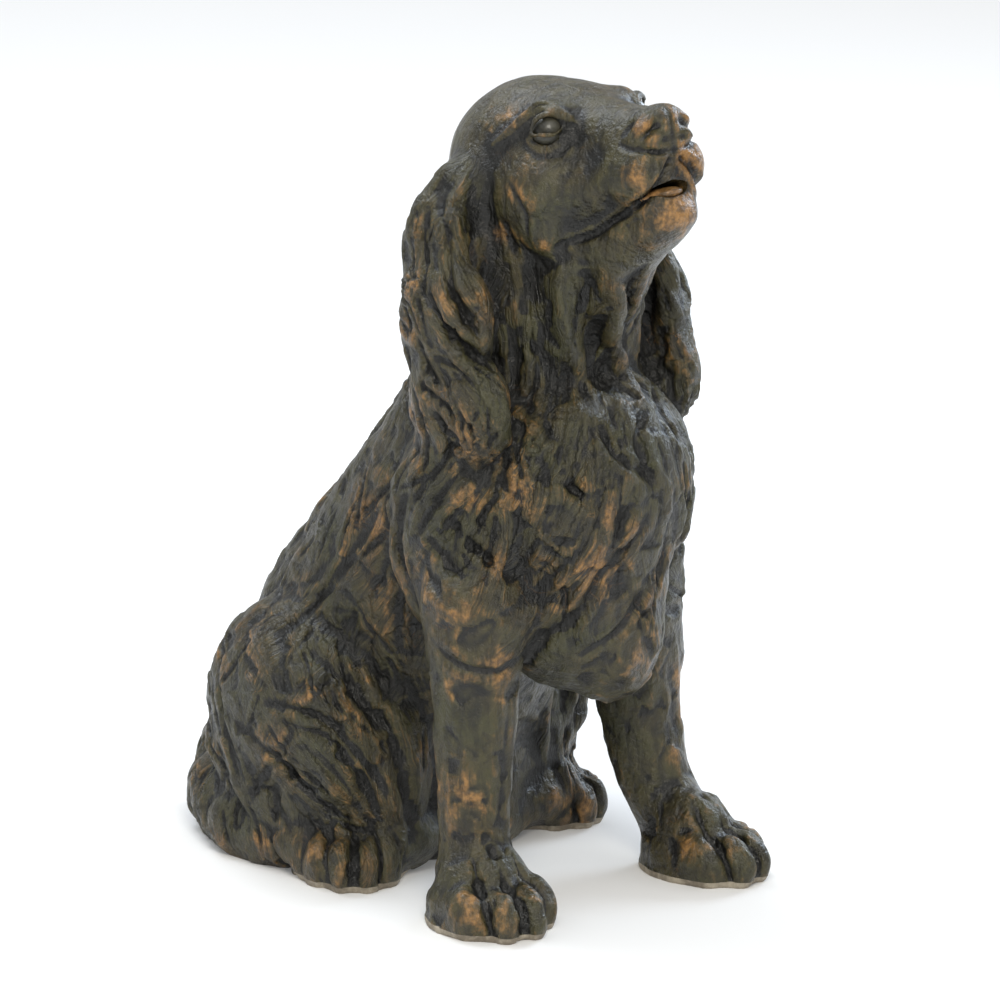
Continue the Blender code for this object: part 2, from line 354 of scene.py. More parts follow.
class Comb:
    """Lays locks on a bed of clay and remembers how the hair runs."""

    STEP = 4.0

    def __init__(self, bench: Bench, bed: BVHTree) -> None:
        """Takes the bench the locks go on and the surface they follow."""
        self.bench = bench
        self.bed = bed
        self.strands: list[tuple[Vector, Vector, Vector, float, float]] = []
        self.count = 0

    def trace(self, start: Vector, heading: Heading, lock: Lock) -> list[tuple[Vector, Vector, Vector]]:
        """Follows the body from a root along the heading.

        Args:
            start: A place on or near the body.
            heading: Gives the wished direction at a place, and at a share of the way.
            lock: Size and habit of the lock.

        Returns:
            Place, outward normal and direction at each step.
        """
        steps = max(4, round(lock.length / self.STEP))
        place, normal, _, _ = self.bed.find_nearest(start)
        way = []
        for step in range(steps + 1):
            share = step / steps
            wish = Vector(heading(place, share))
            wish.rotate(Matrix.Rotation(math.radians(lock.curl) * (share - 0.5), 3, normal))
            along = wish - normal * wish.dot(normal)
            along = along.normalized() if along.length > 1e-6 else normal.orthogonal().normalized()
            way.append((place.copy(), normal.copy(), along))
            found, turned, _, _ = self.bed.find_nearest(place + along * (lock.length / steps))
            if turned.dot(normal) < -0.2:
                break
            place, normal = found, (turned + normal).normalized()
        return way

    def lay(self, start: Vector, heading: Heading, lock: Lock) -> None:
        """Lays one lock: a long ball bent along its way, fullest near the root.

        Args:
            start: Where the root sits.
            heading: Gives the wished direction.
            lock: Size and habit of the lock.
        """
        way = self.trace(start, heading, lock)
        if len(way) < 4:
            return
        self.count += 1
        lump = bmesh.new()
        bmesh.ops.create_uvsphere(lump, u_segments=12, v_segments=16, radius=1.0)
        last = len(way) - 1
        for vert in lump.verts:
            x, y, z = vert.co
            share = (1.0 + z) / 2.0
            spot = share * last
            low = min(int(spot), last - 1)
            part = spot - low
            place = way[low][0].lerp(way[low + 1][0], part)
            normal = way[low][1].lerp(way[low + 1][1], part).normalized()
            along = way[low][2].lerp(way[low + 1][2], part)
            across = along.cross(normal).normalized()
            ring = math.hypot(x, y) or 1.0
            full = math.sin(math.pi * min(1.0, share) ** lock.root) ** 0.8 if 0 < share < 1 else 0.0
            side, rise = x / ring, y / ring
            crest = lock.height * full * rise * (1.0 if rise > 0 else 0.7) + lock.lift * share**2
            vert.co = place + across * (lock.width * full * side) + normal * crest
        self.bench.lay_on(lump)
        for place, normal, along in way:
            across = along.cross(normal).normalized()
            self.strands.append((place, along, across, self.count, lock.width))


class Skin:
    """The fused surface as arrays, which tools are drawn over."""

    def __init__(self, mesh: bpy.types.Mesh) -> None:
        """Reads the surface of a mesh."""
        self.mesh = mesh
        count = len(mesh.vertices)
        self.co = np.empty(count * 3)
        mesh.vertices.foreach_get("co", self.co)
        self.co = self.co.reshape(-1, 3)
        self.edges = np.empty(len(mesh.edges) * 2, dtype=np.int64)
        mesh.edges.foreach_get("vertices", self.edges)
        self.edges = self.edges.reshape(-1, 2)
        self.degree = np.bincount(self.edges.ravel(), minlength=count)[:, None]
        self.no = np.empty((count, 3))
        self.settle()
        self.tree = BVHTree.FromPolygons([tuple(p) for p in self.co], [tuple(p.vertices) for p in mesh.polygons])

    def corners(self) -> np.ndarray:
        """Gives the four corners of every face; a triangle repeats its first."""
        starts = np.empty(len(self.mesh.polygons), dtype=np.int64)
        self.mesh.polygons.foreach_get("loop_start", starts)
        totals = np.empty(len(starts), dtype=np.int64)
        self.mesh.polygons.foreach_get("loop_total", totals)
        verts = np.empty(len(self.mesh.loops), dtype=np.int64)
        self.mesh.loops.foreach_get("vertex_index", verts)
        picks = [starts + np.minimum(step, totals - 1) for step in range(4)]
        return verts[np.stack(picks, axis=1)]

    def neighbours(self) -> np.ndarray:
        """Gives every pair of faces that share an edge."""
        totals = np.empty(len(self.mesh.polygons), dtype=np.int64)
        self.mesh.polygons.foreach_get("loop_total", totals)
        edges = np.empty(len(self.mesh.loops), dtype=np.int64)
        self.mesh.loops.foreach_get("edge_index", edges)
        face = np.repeat(np.arange(len(totals)), totals)
        order = np.argsort(edges, kind="stable")
        edges, face = edges[order], face[order]
        meet = np.flatnonzero(edges[1:] == edges[:-1])
        return np.stack([face[meet], face[meet + 1]], axis=1)

    def settle(self) -> None:
        """Writes the moved surface back and reads its normals again."""
        self.mesh.vertices.foreach_set("co", self.co.ravel())
        self.mesh.update()
        flat = np.empty(len(self.co) * 3)
        self.mesh.vertex_normals.foreach_get("vector", flat)
        self.no = flat.reshape(-1, 3)

    def mean(self, values: np.ndarray) -> np.ndarray:
        """Returns the mean over each vertex's neighbours."""
        total = np.zeros_like(values)
        ends, starts = self.edges[:, 0], self.edges[:, 1]
        for axis in range(values.shape[1]):
            total[:, axis] = np.bincount(ends, values[starts, axis], len(values)) + np.bincount(
                starts, values[ends, axis], len(values)
            )
        return total / self.degree

    def soften(self, times: int, mask: np.ndarray | None = None) -> None:
        """Strokes the surface smooth, where the mask says so."""
        for _ in range(times):
            target = self.mean(self.co)
            share = 0.5 if mask is None else 0.5 * mask[:, None]
            self.co += (target - self.co) * share

    def push(self, amount: np.ndarray) -> None:
        """Moves each vertex along its normal."""
        self.co += self.no * amount[:, None]

    def dab(self, centre: Vector, radius: float, amount: float, way: Vector | None = None) -> None:
        """Raises or dents one round place.

        Args:
            centre: Middle of the dab.
            radius: How far it reaches.
            amount: Height at the middle; less than zero dents.
            way: Direction to push in, or None for the surface's own.
        """
        near = np.flatnonzero((np.abs(self.co - np.array(centre)) < radius).all(axis=1))
        reach = np.linalg.norm(self.co[near] - np.array(centre), axis=1) / radius
        soft = np.clip(1.0 - reach**2, 0.0, 1.0) ** 2
        direction = self.no[near] if way is None else np.array(way)[None, :]
        self.co[near] += direction * (soft * amount)[:, None]

    def crease(
        self,
        path: Sequence[Vector],
        width: float,
        depth: float,
        lip: float = 0.0,
        fade: bool = True,
    ) -> None:
        """Draws a groove, or with a negative depth a ridge, along a path.

        Args:
            path: Places the tool passes through.
            width: Half-width of the groove.
            depth: Depth at its middle.
            lip: Height of the clay thrown up on both sides.
            fade: Whether the groove dies away at both ends.
        """
        points = smooth_path([self.tree.find_nearest(Vector(place))[0] for place in path])
        low, high = points.min(axis=0) - 3 * width, points.max(axis=0) + 3 * width
        near = np.flatnonzero(((self.co > low) & (self.co < high)).all(axis=1))
        if not len(near):
            return
        best = np.full(len(near), 1e9)
        share = np.zeros(len(near))
        for step in range(len(points) - 1):
            a, b = points[step], points[step + 1]
            along = b - a
            t = np.clip(((self.co[near] - a) @ along) / max(along @ along, 1e-9), 0.0, 1.0)
            gap = np.linalg.norm(self.co[near] - (a + t[:, None] * along), axis=1)
            closer = gap < best
            best[closer] = gap[closer]
            share[closer] = (step + t[closer]) / (len(points) - 1)
        ends = np.sin(np.pi * np.clip(share, 0.02, 0.98)) ** 0.5 if fade else 1.0
        cut = np.exp(-((best / width) ** 2)) * depth
        edge = np.exp(-(((best - 1.9 * width) / (0.8 * width)) ** 2)) * lip
        self.co[near] += self.no[near] * ((edge - cut) * ends)[:, None]


def thin_ends(places: Sequence[Vector], radius: float) -> list[Station]:
    """Makes a thin roll of clay through places, tapering to both ends.

    Args:
        places: Where it goes.
        radius: Its thickness in the middle.

    Returns:
        Stations of the roll.
    """
    path = smooth_path(places, 3)
    shares = [math.sin(math.pi * (index + 0.5) / len(path)) ** 0.6 for index in range(len(path))]
    return [(tuple(place), radius * (0.4 + 0.6 * share)) for place, share in zip(path, shares)]


def smooth_path(path: Sequence[Vector], per: int = 6) -> np.ndarray:
    """Rounds a path of a few places into a smooth curve.

    Args:
        path: The places it passes through.
        per: Points between two places.

    Returns:
        The curve's points, one per row.
    """
    p = np.array([tuple(v) for v in path], dtype=float)
    if len(p) < 3:
        return p
    ext = np.vstack([2 * p[0] - p[1], p, 2 * p[-1] - p[-2]])
    out = []
    for i in range(1, len(ext) - 2):
        a, b, c, d = ext[i - 1 : i + 3]
        for t in np.linspace(0, 1, per, endpoint=False):
            out.append(
                0.5
                * (
                    2 * b
                    + (c - a) * t
                    + (2 * a - 5 * b + 4 * c - d) * t**2
                    + (3 * b - a - 3 * c + d) * t**3
                )
            )
    out.append(p[-1])
    return np.array(out)


def run(x: float, y: float, z: float) -> Heading:
    """Returns a heading that is the same everywhere."""
    way = Vector((x, y, z)).normalized()
    return lambda place, share: way


class Bed:
    """The bare body that hair is combed over, with places to root it in."""

    def __init__(self, form: bpy.types.Object, rng: np.random.Generator) -> None:
        """Reads the surface of the bare form."""
        mesh = form.data
        self.rng = rng
        self.tree = BVHTree.FromPolygons(
            [tuple(v.co) for v in mesh.vertices], [tuple(p.vertices) for p in mesh.polygons]
        )
        count = len(mesh.polygons)
        centres = np.empty(count * 3)
        mesh.polygons.foreach_get("center", centres)
        normals = np.empty(count * 3)
        mesh.polygons.foreach_get("normal", normals)
        self.centres = centres.reshape(-1, 3)
        self.normals = normals.reshape(-1, 3)

    def roots(self, region: Callable[[np.ndarray, np.ndarray], np.ndarray], spacing: float) -> list[Vector]:
        """Picks scattered roots in a region, no two closer than the spacing.

        Args:
            region: Says which of the points, with their normals, belong to it.
            spacing: Least distance between two roots.

        Returns:
            The roots, in the random order they were drawn.
        """
        mask = region(self.centres, self.normals)
        pool = self.rng.permutation(np.flatnonzero(mask))
        chosen: list[np.ndarray] = []
        cells: dict[tuple[int, int, int], list[np.ndarray]] = {}
        for index in pool:
            point = self.centres[index]
            cell = tuple((point // spacing).astype(int))
            near = (
                other
                for dx in (-1, 0, 1)
                for dy in (-1, 0, 1)
                for dz in (-1, 0, 1)
                for other in cells.get((cell[0] + dx, cell[1] + dy, cell[2] + dz), ())
            )
            if all(np.linalg.norm(point - other) > spacing for other in near):
                chosen.append(point)
                cells.setdefault(cell, []).append(point)
        return [Vector(p) for p in chosen]


# --- the parts of the dog ---------------------------------------------------------------------


@dataclass
class Trunk:
    """Barrel of the body, from the seat to the root of the neck."""

    stations: tuple[tuple[Triple, Triple], ...] = (
        ((0, 122, 12), (62, 62, 24)),
        ((0, 130, 58), (74, 66, 60)),
        ((0, 112, 98), (68, 68, 58)),
        ((0, 76, 150), (60, 58, 56)),
        ((0, 50, 190), (55, 50, 50)),
        ((0, 34, 228), (46, 45, 40)),
    )
    neck: tuple[Station, ...] = (((0, 34, 228), 44), ((0, 27, 258), 42), ((0, 30, 300), 40))
    strokes: tuple[Stroke, ...] = (
        Stroke(((-67, 38, 190), (-69, 43, 162), (-67, 36, 136), (-70, 30, 118)), 3.4, 2.6, 0.8),
        Stroke(((-63, 97, 127), (-61, 87, 143), (-56, 68, 173)), 2.6, 1.8, 0.8),
        Stroke(((-81, 110, 105), (-64, 103, 121), (-62, 85, 132)), 2.8, 2.0, 0.6),
        Stroke(((-60, 60, 150), (-62, 56, 128), (-60, 60, 104)), 2.4, 1.6, 0.6),
    )
    rubs: tuple[Rub, ...] = (
        Rub((-58, 76, 162), 12, 0.55),
        Rub((-61, 93, 141), 11, 0.45),
        Rub((-55, 66, 182), 10, 0.6),
        Rub((-64, 110, 120), 12, 0.35),
        Rub((-65, 15, 199), 12, 0.5),
        Rub((60, 70, 160), 14, 0.4),
        Rub((20, 150, 130), 16, 0.4),
        Rub((-20, 120, 180), 14, 0.35),
    )

    def tool(self, skin: Skin) -> None:
        """Draws the folds between shoulder and flank on both sides."""
        for stroke in self.strokes:
            stroke.draw(skin)
            stroke.draw(skin, -1.0)

    def press(self, bench: Bench) -> None:
        """Builds the barrel and the neck."""
        bench.barrel(self.stations)
        bench.roll(self.neck)

    def comb(self, comb: Comb, bed: Bed) -> None:
        """Lays the coat of the back, the flanks and the neck."""
        rng = bed.rng

        def back(p: np.ndarray, n: np.ndarray) -> np.ndarray:
            return (p[:, 1] > 45) & (p[:, 2] > 70) & (p[:, 2] < 235) & (n[:, 1] > -0.25)

        for root in bed.roots(back, 17):
            side = 1.0 if root.x > 0 else -1.0
            way = run(side * (0.25 + 0.2 * rng.random()), 0.5, -1.0)
            lock = Lock(rng.uniform(36, 66), rng.uniform(7, 13), rng.uniform(1.4, 2.8), rng.uniform(-30, 30))
            comb.lay(root, way, lock)

        def mane(p: np.ndarray, n: np.ndarray) -> np.ndarray:
            return (p[:, 1] > 22) & (p[:, 2] > 228) & (p[:, 2] < 322) & (np.abs(n[:, 2]) < 0.8)

        for root in bed.roots(mane, 12):
            side = 1.0 if root.x > 0 else -1.0
            lock = Lock(rng.uniform(30, 48), rng.uniform(4.5, 7), rng.uniform(2.5, 4), rng.uniform(-50, 50))
            comb.lay(root, run(side * 0.25, 0.35, -1.0), lock)


@dataclass
class ChestRuff:
    """Feathered chest that hangs over the gap between the forelegs."""

    eggs: tuple[Egg, ...] = (
        Egg((0, 3, 182), (55, 42, 56)),
        Egg((-1, 6, 140), (44, 38, 50)),
        Egg((7, -5, 119), (25, 27, 34)),
    )

    def press(self, bench: Bench) -> None:
        """Builds the breast."""
        bench.eggs(self.eggs)

    strokes: tuple[Stroke, ...] = (
        Stroke(((-25, -13, 287), (-27, -16, 272), (-20, -12, 254), (-10, -13, 230)), 3.8, -4.0, 0.0),
        Stroke(((-20, -24, 290), (-19, -24, 272), (-9, -18, 252), (4, -16, 230)), 5.0, 7.5, 0.0),
        Stroke(((-12, -32, 291), (-8, -30, 272), (2, -20, 252), (14, -14, 230)), 5.2, -3.2, 0.0),
        Stroke(((-2, -36, 290), (2, -30, 272), (10, -18, 254), (22, -12, 236)), 3.4, 4.8, 0.0),
        Stroke(((6, -34, 288), (8, -28, 270), (14, -18, 252), (24, -8, 236)), 3.2, -2.6, 0.0),
        Stroke(((-33, 0, 292), (-36, -4, 272), (-32, -4, 254), (-24, -8, 236)), 3.2, 4.0, 0.0),
        Stroke(((-39, 11, 229), (-38, -8, 219), (-38, -21, 209), (-42, -25, 194)), 2.2, -2.4, 0.0),
        Stroke(((-45, 1, 216), (-49, -5, 204), (-53, -8, 190)), 2.2, 3.2, 0.8),
        Stroke(((-39, -24, 202), (-33, -31, 193), (-27, -34, 187)), 2.6, 2.2, 1.0),
        Stroke(((-16, -29, 217), (-11, -36, 204), (9, -40, 192)), 2.0, 2.2, 0.9),
        Stroke(((18, -24, 224), (1, -35, 211), (6, -41, 192)), 2.0, 2.4, 0.9),
        Stroke(((-25, -25, 141), (-11, -36, 159), (2, -41, 176)), 2.2, 2.0, 1.0),
        Stroke(((-37, -13, 122), (-25, -25, 136), (-15, -34, 154)), 2.6, 2.2, 1.0),
        Stroke(((-43, -13, 142), (-35, -24, 156), (-27, -34, 170)), 2.2, 2.0, 0.8),
        Stroke(((6, -30, 127), (19, -30, 148), (17, -39, 172)), 2.2, 2.2, 0.8),
        Stroke(((-46, -20, 171), (-41, -24, 165), (-33, -28, 160)), 1.8, 2.2, 0.8),
        Stroke(((30, -22, 150), (34, -26, 170), (34, -32, 192)), 2.0, 2.2, 0.8),
        Stroke(((-20, -20, 116), (-6, -26, 124), (6, -30, 140)), 2.0, 1.8, 0.8),
    )
    rubs: tuple[Rub, ...] = (
        Rub((-46, -9, 209), 11, 0.9),
        Rub((-50, -15, 188), 10, 0.7),
        Rub((-23, -32, 157), 9, 0.9),
        Rub((5, -29, 111), 10, 0.7),
        Rub((-10, -16, 98), 11, 0.7),
        Rub((-23, -37, 188), 9, 0.4),
        Rub((32, -34, 188), 10, 0.5),
        Rub((-8, -22, 262), 16, -0.5),
        Rub((10, -35, 205), 18, -0.3),
    )

    def tool(self, skin: Skin) -> None:
        """Draws the long folds of the throat and the knife strokes of the breast."""
        for stroke in self.strokes:
            stroke.draw(skin)
        skin.settle()

    def comb(self, comb: Comb, bed: Bed) -> None:
        """Lays short tufts over the breast."""
        rng = bed.rng

        def breast(p: np.ndarray, n: np.ndarray) -> np.ndarray:
            high = (p[:, 2] > 150) & (p[:, 2] < 235) & (p[:, 1] < 14) & (np.abs(p[:, 0]) < 50)
            rim = (p[:, 2] > 110) & (p[:, 2] < 215) & (p[:, 0] > 22) & (p[:, 1] < 10) & (p[:, 0] < 62)
            return (high | rim) & (n[:, 1] < 0.3)

        def throat(p: np.ndarray, n: np.ndarray) -> np.ndarray:
            return (p[:, 2] > 218) & (p[:, 2] < 280) & (p[:, 1] < 26) & (np.abs(p[:, 0]) < 44) & (n[:, 1] < 0.1)

        for root in bed.roots(throat, 12):
            lock = Lock(rng.uniform(48, 84), rng.uniform(3.2, 5.6), rng.uniform(2.0, 3.4), rng.uniform(-40, 40), 1.0, 0.9)
            comb.lay(root, run(root.x / 90 + rng.uniform(-0.15, 0.15), -0.1, -1.0), lock)
        for root in bed.roots(breast, 14):
            spread = root.x / 60.0
            way = run(spread + rng.uniform(-0.35, 0.35), -0.1, -1.0)
            lock = Lock(
                rng.uniform(24, 48), rng.uniform(5.0, 9.5), rng.uniform(1.4, 2.8), rng.uniform(-60, 60), 1.0, 0.7
            )
            comb.lay(root, way, lock)


@dataclass
class Head:
    """Skull, brow, muzzle and cheeks, in the head's own axes."""

    axes: Matrix = field(default_factory=head_axes)
    skull: tuple[tuple[Triple, Triple], ...] = (
        ((0, -2, -4), (40, 44, 39)),
        ((0, 22, 1), (33, 30, 27)),
        ((0, 42, -5), (22, 20, 23)),
        ((0, 59, -8), (19, 16, 20.5)),
        ((0, 74, -12), (17.5, 12, 19.5)),
    )
    flews: tuple[tuple[Triple, Triple], ...] = (
        ((17, 36, -18), (13, 16, 18)),
        ((13.5, 54, -19.5), (11.5, 14, 14)),
        ((11.5, 68, -19), (11.5, 13, 14)),
        ((9, 77.5, -19), (10.5, 10, 14.5)),
    )
    jaw: tuple[tuple[Triple, Triple], ...] = (
        ((0, 8, -58), (30, 24, 26)),
        ((0, 28, -48), (24, 24, 18)),
        ((0, 48, -45), (19, 20, 13.5)),
        ((0, 64, -43), (16.5, 14, 11.5)),
        ((0, 75, -40), (14, 10.5, 9.5)),
    )
    paired: tuple[Egg, ...] = (
        Egg((17, 33, 14), (12, 12, 8)),
        Egg((25, 18, -16), (16, 26, 22)),
        Egg((24, 20, -32), (13, 15, 13)),
    )
    nose: Egg = Egg((0, 80, -3), (14, 8.0, 11.0))
    eye: Triple = (24.5, 36, 8)
    bare: tuple[Rub, ...] = (
        Rub((-40, 22, -16), 6, 0.8),
        Rub((-37, 27, -27), 5, 1.0),
        Rub((-30, 24, -38), 6, 1.3),
        Rub((-35, 4, -30), 9, 1.1),
        Rub((-34, 14, -37), 7, 0.9),
        Rub((-18, 76, -20), 9, 1.25),
        Rub((-15, 70, -26), 7, 0.9),
        Rub((8, 86, -20), 8, 1.3),
        Rub((15, 80, -18), 8, 1.2),
        Rub((0, 86, -39), 8, 1.0),
        Rub((-8, 84, -41), 7, 0.9),
        Rub((-14, 84, 0), 6, 1.1),
        Rub((0, 92, 5), 7, 0.9),
        Rub((14, 84, 0), 6, 1.0),
        Rub((37, 27, -27), 7, 1.0),
        Rub((30, 24, -36), 6, 1.0),
        Rub((-30, 20, 21), 8, 0.4),
        Rub((-33, 4, 18), 8, 0.5),
        Rub((-26, 38, 8), 9, -0.8),
        Rub((26, 38, 8), 9, -0.8),
        Rub((0, 10, 36), 34, -1.1),
        Rub((-26, -4, 26), 26, -0.8),
        Rub((-24, 50, -10), 14, -0.3),
    )
    gaze: Triple = (0.60, 0.72, 0.30)

    def press(self, bench: Bench) -> None:
        """Builds skull, muzzle and jaw."""
        self.cast(bench, self.skull)
        self.cast(bench, self.jaw)
        for side in (-1.0, 1.0):
            flipped = tuple(((side * c[0], c[1], c[2]), r) for c, r in self.flews)
            self.cast(bench, flipped)
            for egg in self.paired:
                x, y, z = egg.centre
                bench.egg(Egg((side * x, y, z), egg.radii), self.axes)
        bench.egg(self.nose, self.axes)

    def cast(self, bench: Bench, stations: Sequence[tuple[Triple, Triple]]) -> None:
        """Adds a run of eggs in the head's axes."""
        for (low, low_radii), (high, high_radii) in zip(stations, stations[1:]):
            for step in range(7):
                centre = Vector(low).lerp(Vector(high), step / 6)
                radii = Vector(low_radii).lerp(Vector(high_radii), step / 6)
                bench.egg(Egg(tuple(centre), tuple(radii)), self.axes)

    def crisp(self, bench: Bench, bed: BVHTree) -> None:
        """Sets on the nose pad, the brows and the lids, which keep their edges."""
        bench.egg(Egg((0, 80, -1.5), (14.5, 8.5, 9.5)), self.axes)
        for side in (-1.0, 1.0):
            bench.egg(Egg((side * 9, 80.5, -4.5), (6.5, 7.5, 8)), self.axes)
            self.lid(bench, side, ((-8.6, -1.2), (-5.4, 2.4), (-0.8, 4.4), (3.8, 3.6), (7.6, 0.4)), 1.5, 8.7)
            self.lid(bench, side, ((-8.6, -1.2), (-4.6, -3.8), (0.4, -5.2), (4.6, -4.2), (7.6, 0.4)), 1.35, 8.7)
            drop = 0.0 if side < 0 else 4.0
            brow = ((37, 10, 8), (33, 21, 12.5), (29, 30, 18.0 - drop), (26, 36, 20.0 - drop), (22.0, 42, 15.5), (19.0, 48, 8))
            snapped = []
            for x, y, z in brow:
                place, normal, _, _ = bed.find_nearest(self.axes @ Vector((side * x, y, z)))
                snapped.append(place + normal * (0.9 if side < 0 else 0.0))
            bench.roll(thin_ends(snapped, 2.6))

    def lid(self, bench: Bench, side: float, rim: Sequence[tuple[float, float]], radius: float, reach: float) -> None:
        """Lays an eyelid round the ball of the eye.

        Args:
            bench: Where the clay goes.
            side: Which eye.
            rim: Places on the lid, across and up from the middle of the eye.
            radius: Thickness of the lid.
            reach: How far from the ball's centre the lid's middle line lies.
        """
        gaze = Vector((side * self.gaze[0], self.gaze[1], self.gaze[2])).normalized()
        up = (Vector((0, 0, 1)) - gaze * gaze.z).normalized()
        across = gaze.cross(up) * side
        centre = Vector((side * self.eye[0], self.eye[1], self.eye[2]))
        places = []
        for a, b in rim:
            out = math.sqrt(max(reach**2 - a * a - b * b, 1.0))
            places.append(self.axes @ (centre + across * -a + up * b + gaze * out))
        bench.roll(thin_ends(places, radius))

    @property
    def rubs(self) -> tuple[Rub, ...]:
        """Bare places of the face, in the dog's axes."""
        return tuple(Rub(tuple(self.axes @ Vector(rub.centre)), rub.radius, rub.strength) for rub in self.bare)

    def calm(self) -> list[tuple[Vector, float]]:
        """Places where the clay is smoothed: eyes, nose and lips."""
        places = ((-25, 38, 8, 14), (25, 38, 8, 14), (0, 84, -6, 26), (0, 70, -30, 30), (0, 20, 10, 60))
        return [(self.axes @ Vector(p[:3]), p[3]) for p in places]

    def tool(self, skin: Skin) -> None:
        """Draws mouth, nostrils, eyelids and the folds of the face."""
        axes = self.axes
        inverse = np.array(axes.inverted())
        for side in (-1.0, 1.0):

            def path(*places: Triple) -> list[Vector]:
                return head_path(axes, *((side * x, y, z) for x, y, z in places))

            skin.crease(path((2, 93, -18), (8, 90, -24), (14, 82, -30.5), (15.5, 70, -33.5)), 1.7, 4.6, 0.8, False)
            skin.crease(path((15.5, 74, -32.5), (17, 58, -36.5), (19, 48, -39.5), (22, 38, -41), (24, 30, -40.5)), 1.5, 2.8, 0.9, True)
            skin.dab(axes @ Vector((side * 25, 28, -41)), 5, -3.2)
            skin.dab(axes @ Vector((side * 18, 56, -42.5)), 7, 1.2)
            skin.crease(path((0, 88, -14), (5, 88, -13.5), (11, 85, -12.5), (15.5, 77, -10), (17, 71, -6)), 1.4, 2.2, 0.5)
            skin.crease(path((13.5, 80, 4), (16, 75, 1), (17, 72, -4)), 1.5, 1.3, 0.4)
            skin.crease(path((6.5, 89, -1.5), (9.2, 88, -2.0), (12.0, 85, -4.5), (14.0, 81, -7.0)), 2.0, 4.2, 0.5)
            skin.dab(axes @ Vector((side * 8.2, 88.5, -2.0)), 4.5, -2.8)
            skin.dab(axes @ Vector((side * 21, 56, -12)), 13, -1.5)
            skin.dab(axes @ Vector((side * 20, 58, -28)), 9, -1.4)
            skin.dab(axes @ Vector((side * 16, 77, -20)), 10, 1.4)
            skin.dab(axes @ Vector((side * 24, 50, 4)), 10, -2.0)
            skin.dab(axes @ Vector((side * 36, 32, -22)), 9, 1.8)
            skin.crease(path((38, 20, -10), (38, 25, -23), (36, 22, -30), (31, 18, -38)), 1.5, 1.2, 0.6)
            skin.crease(path((36, 10, -26), (38, 8, -32), (37, 8, -42)), 1.8, 1.0, 0.6)
            skin.dab(axes @ Vector((side * 35, 8, 8)), 15, -1.5)
            skin.crease(path((30, 30, 17), (26, 38, 19.5), (20, 45, 13)), 1.6, 2.4, 0.2)
            skin.crease(path((33, 28, 3), (31, 34, -3), (26, 42, -3), (21, 47, 3)), 1.5, 0.8, 0.2)
        skin.crease(head_path(axes, (0, 89, -13), (0, 89, -18), (0, 88, -24)), 1.3, 2.4, 0.4)
        skin.crease(head_path(axes, (0, 85, 6), (0, 89, -1), (0, 89, -8)), 1.2, 1.0, 0.2)
        skin.settle()
        local = skin.co @ inverse[:3, :3].T + inverse[:3, 3]
        flat = np.clip((local[:, 1] - 52) / 26, 0, 1) * np.clip((20 - np.abs(local[:, 0])) / 6, 0, 1)
        over = np.clip(local[:, 2] - 7.5, 0, None) * flat * 0.5
        down = np.array(axes.to_3x3() @ Vector((0, 0, -1)))
        skin.co += down[None, :] * over[:, None]
        skin.settle()


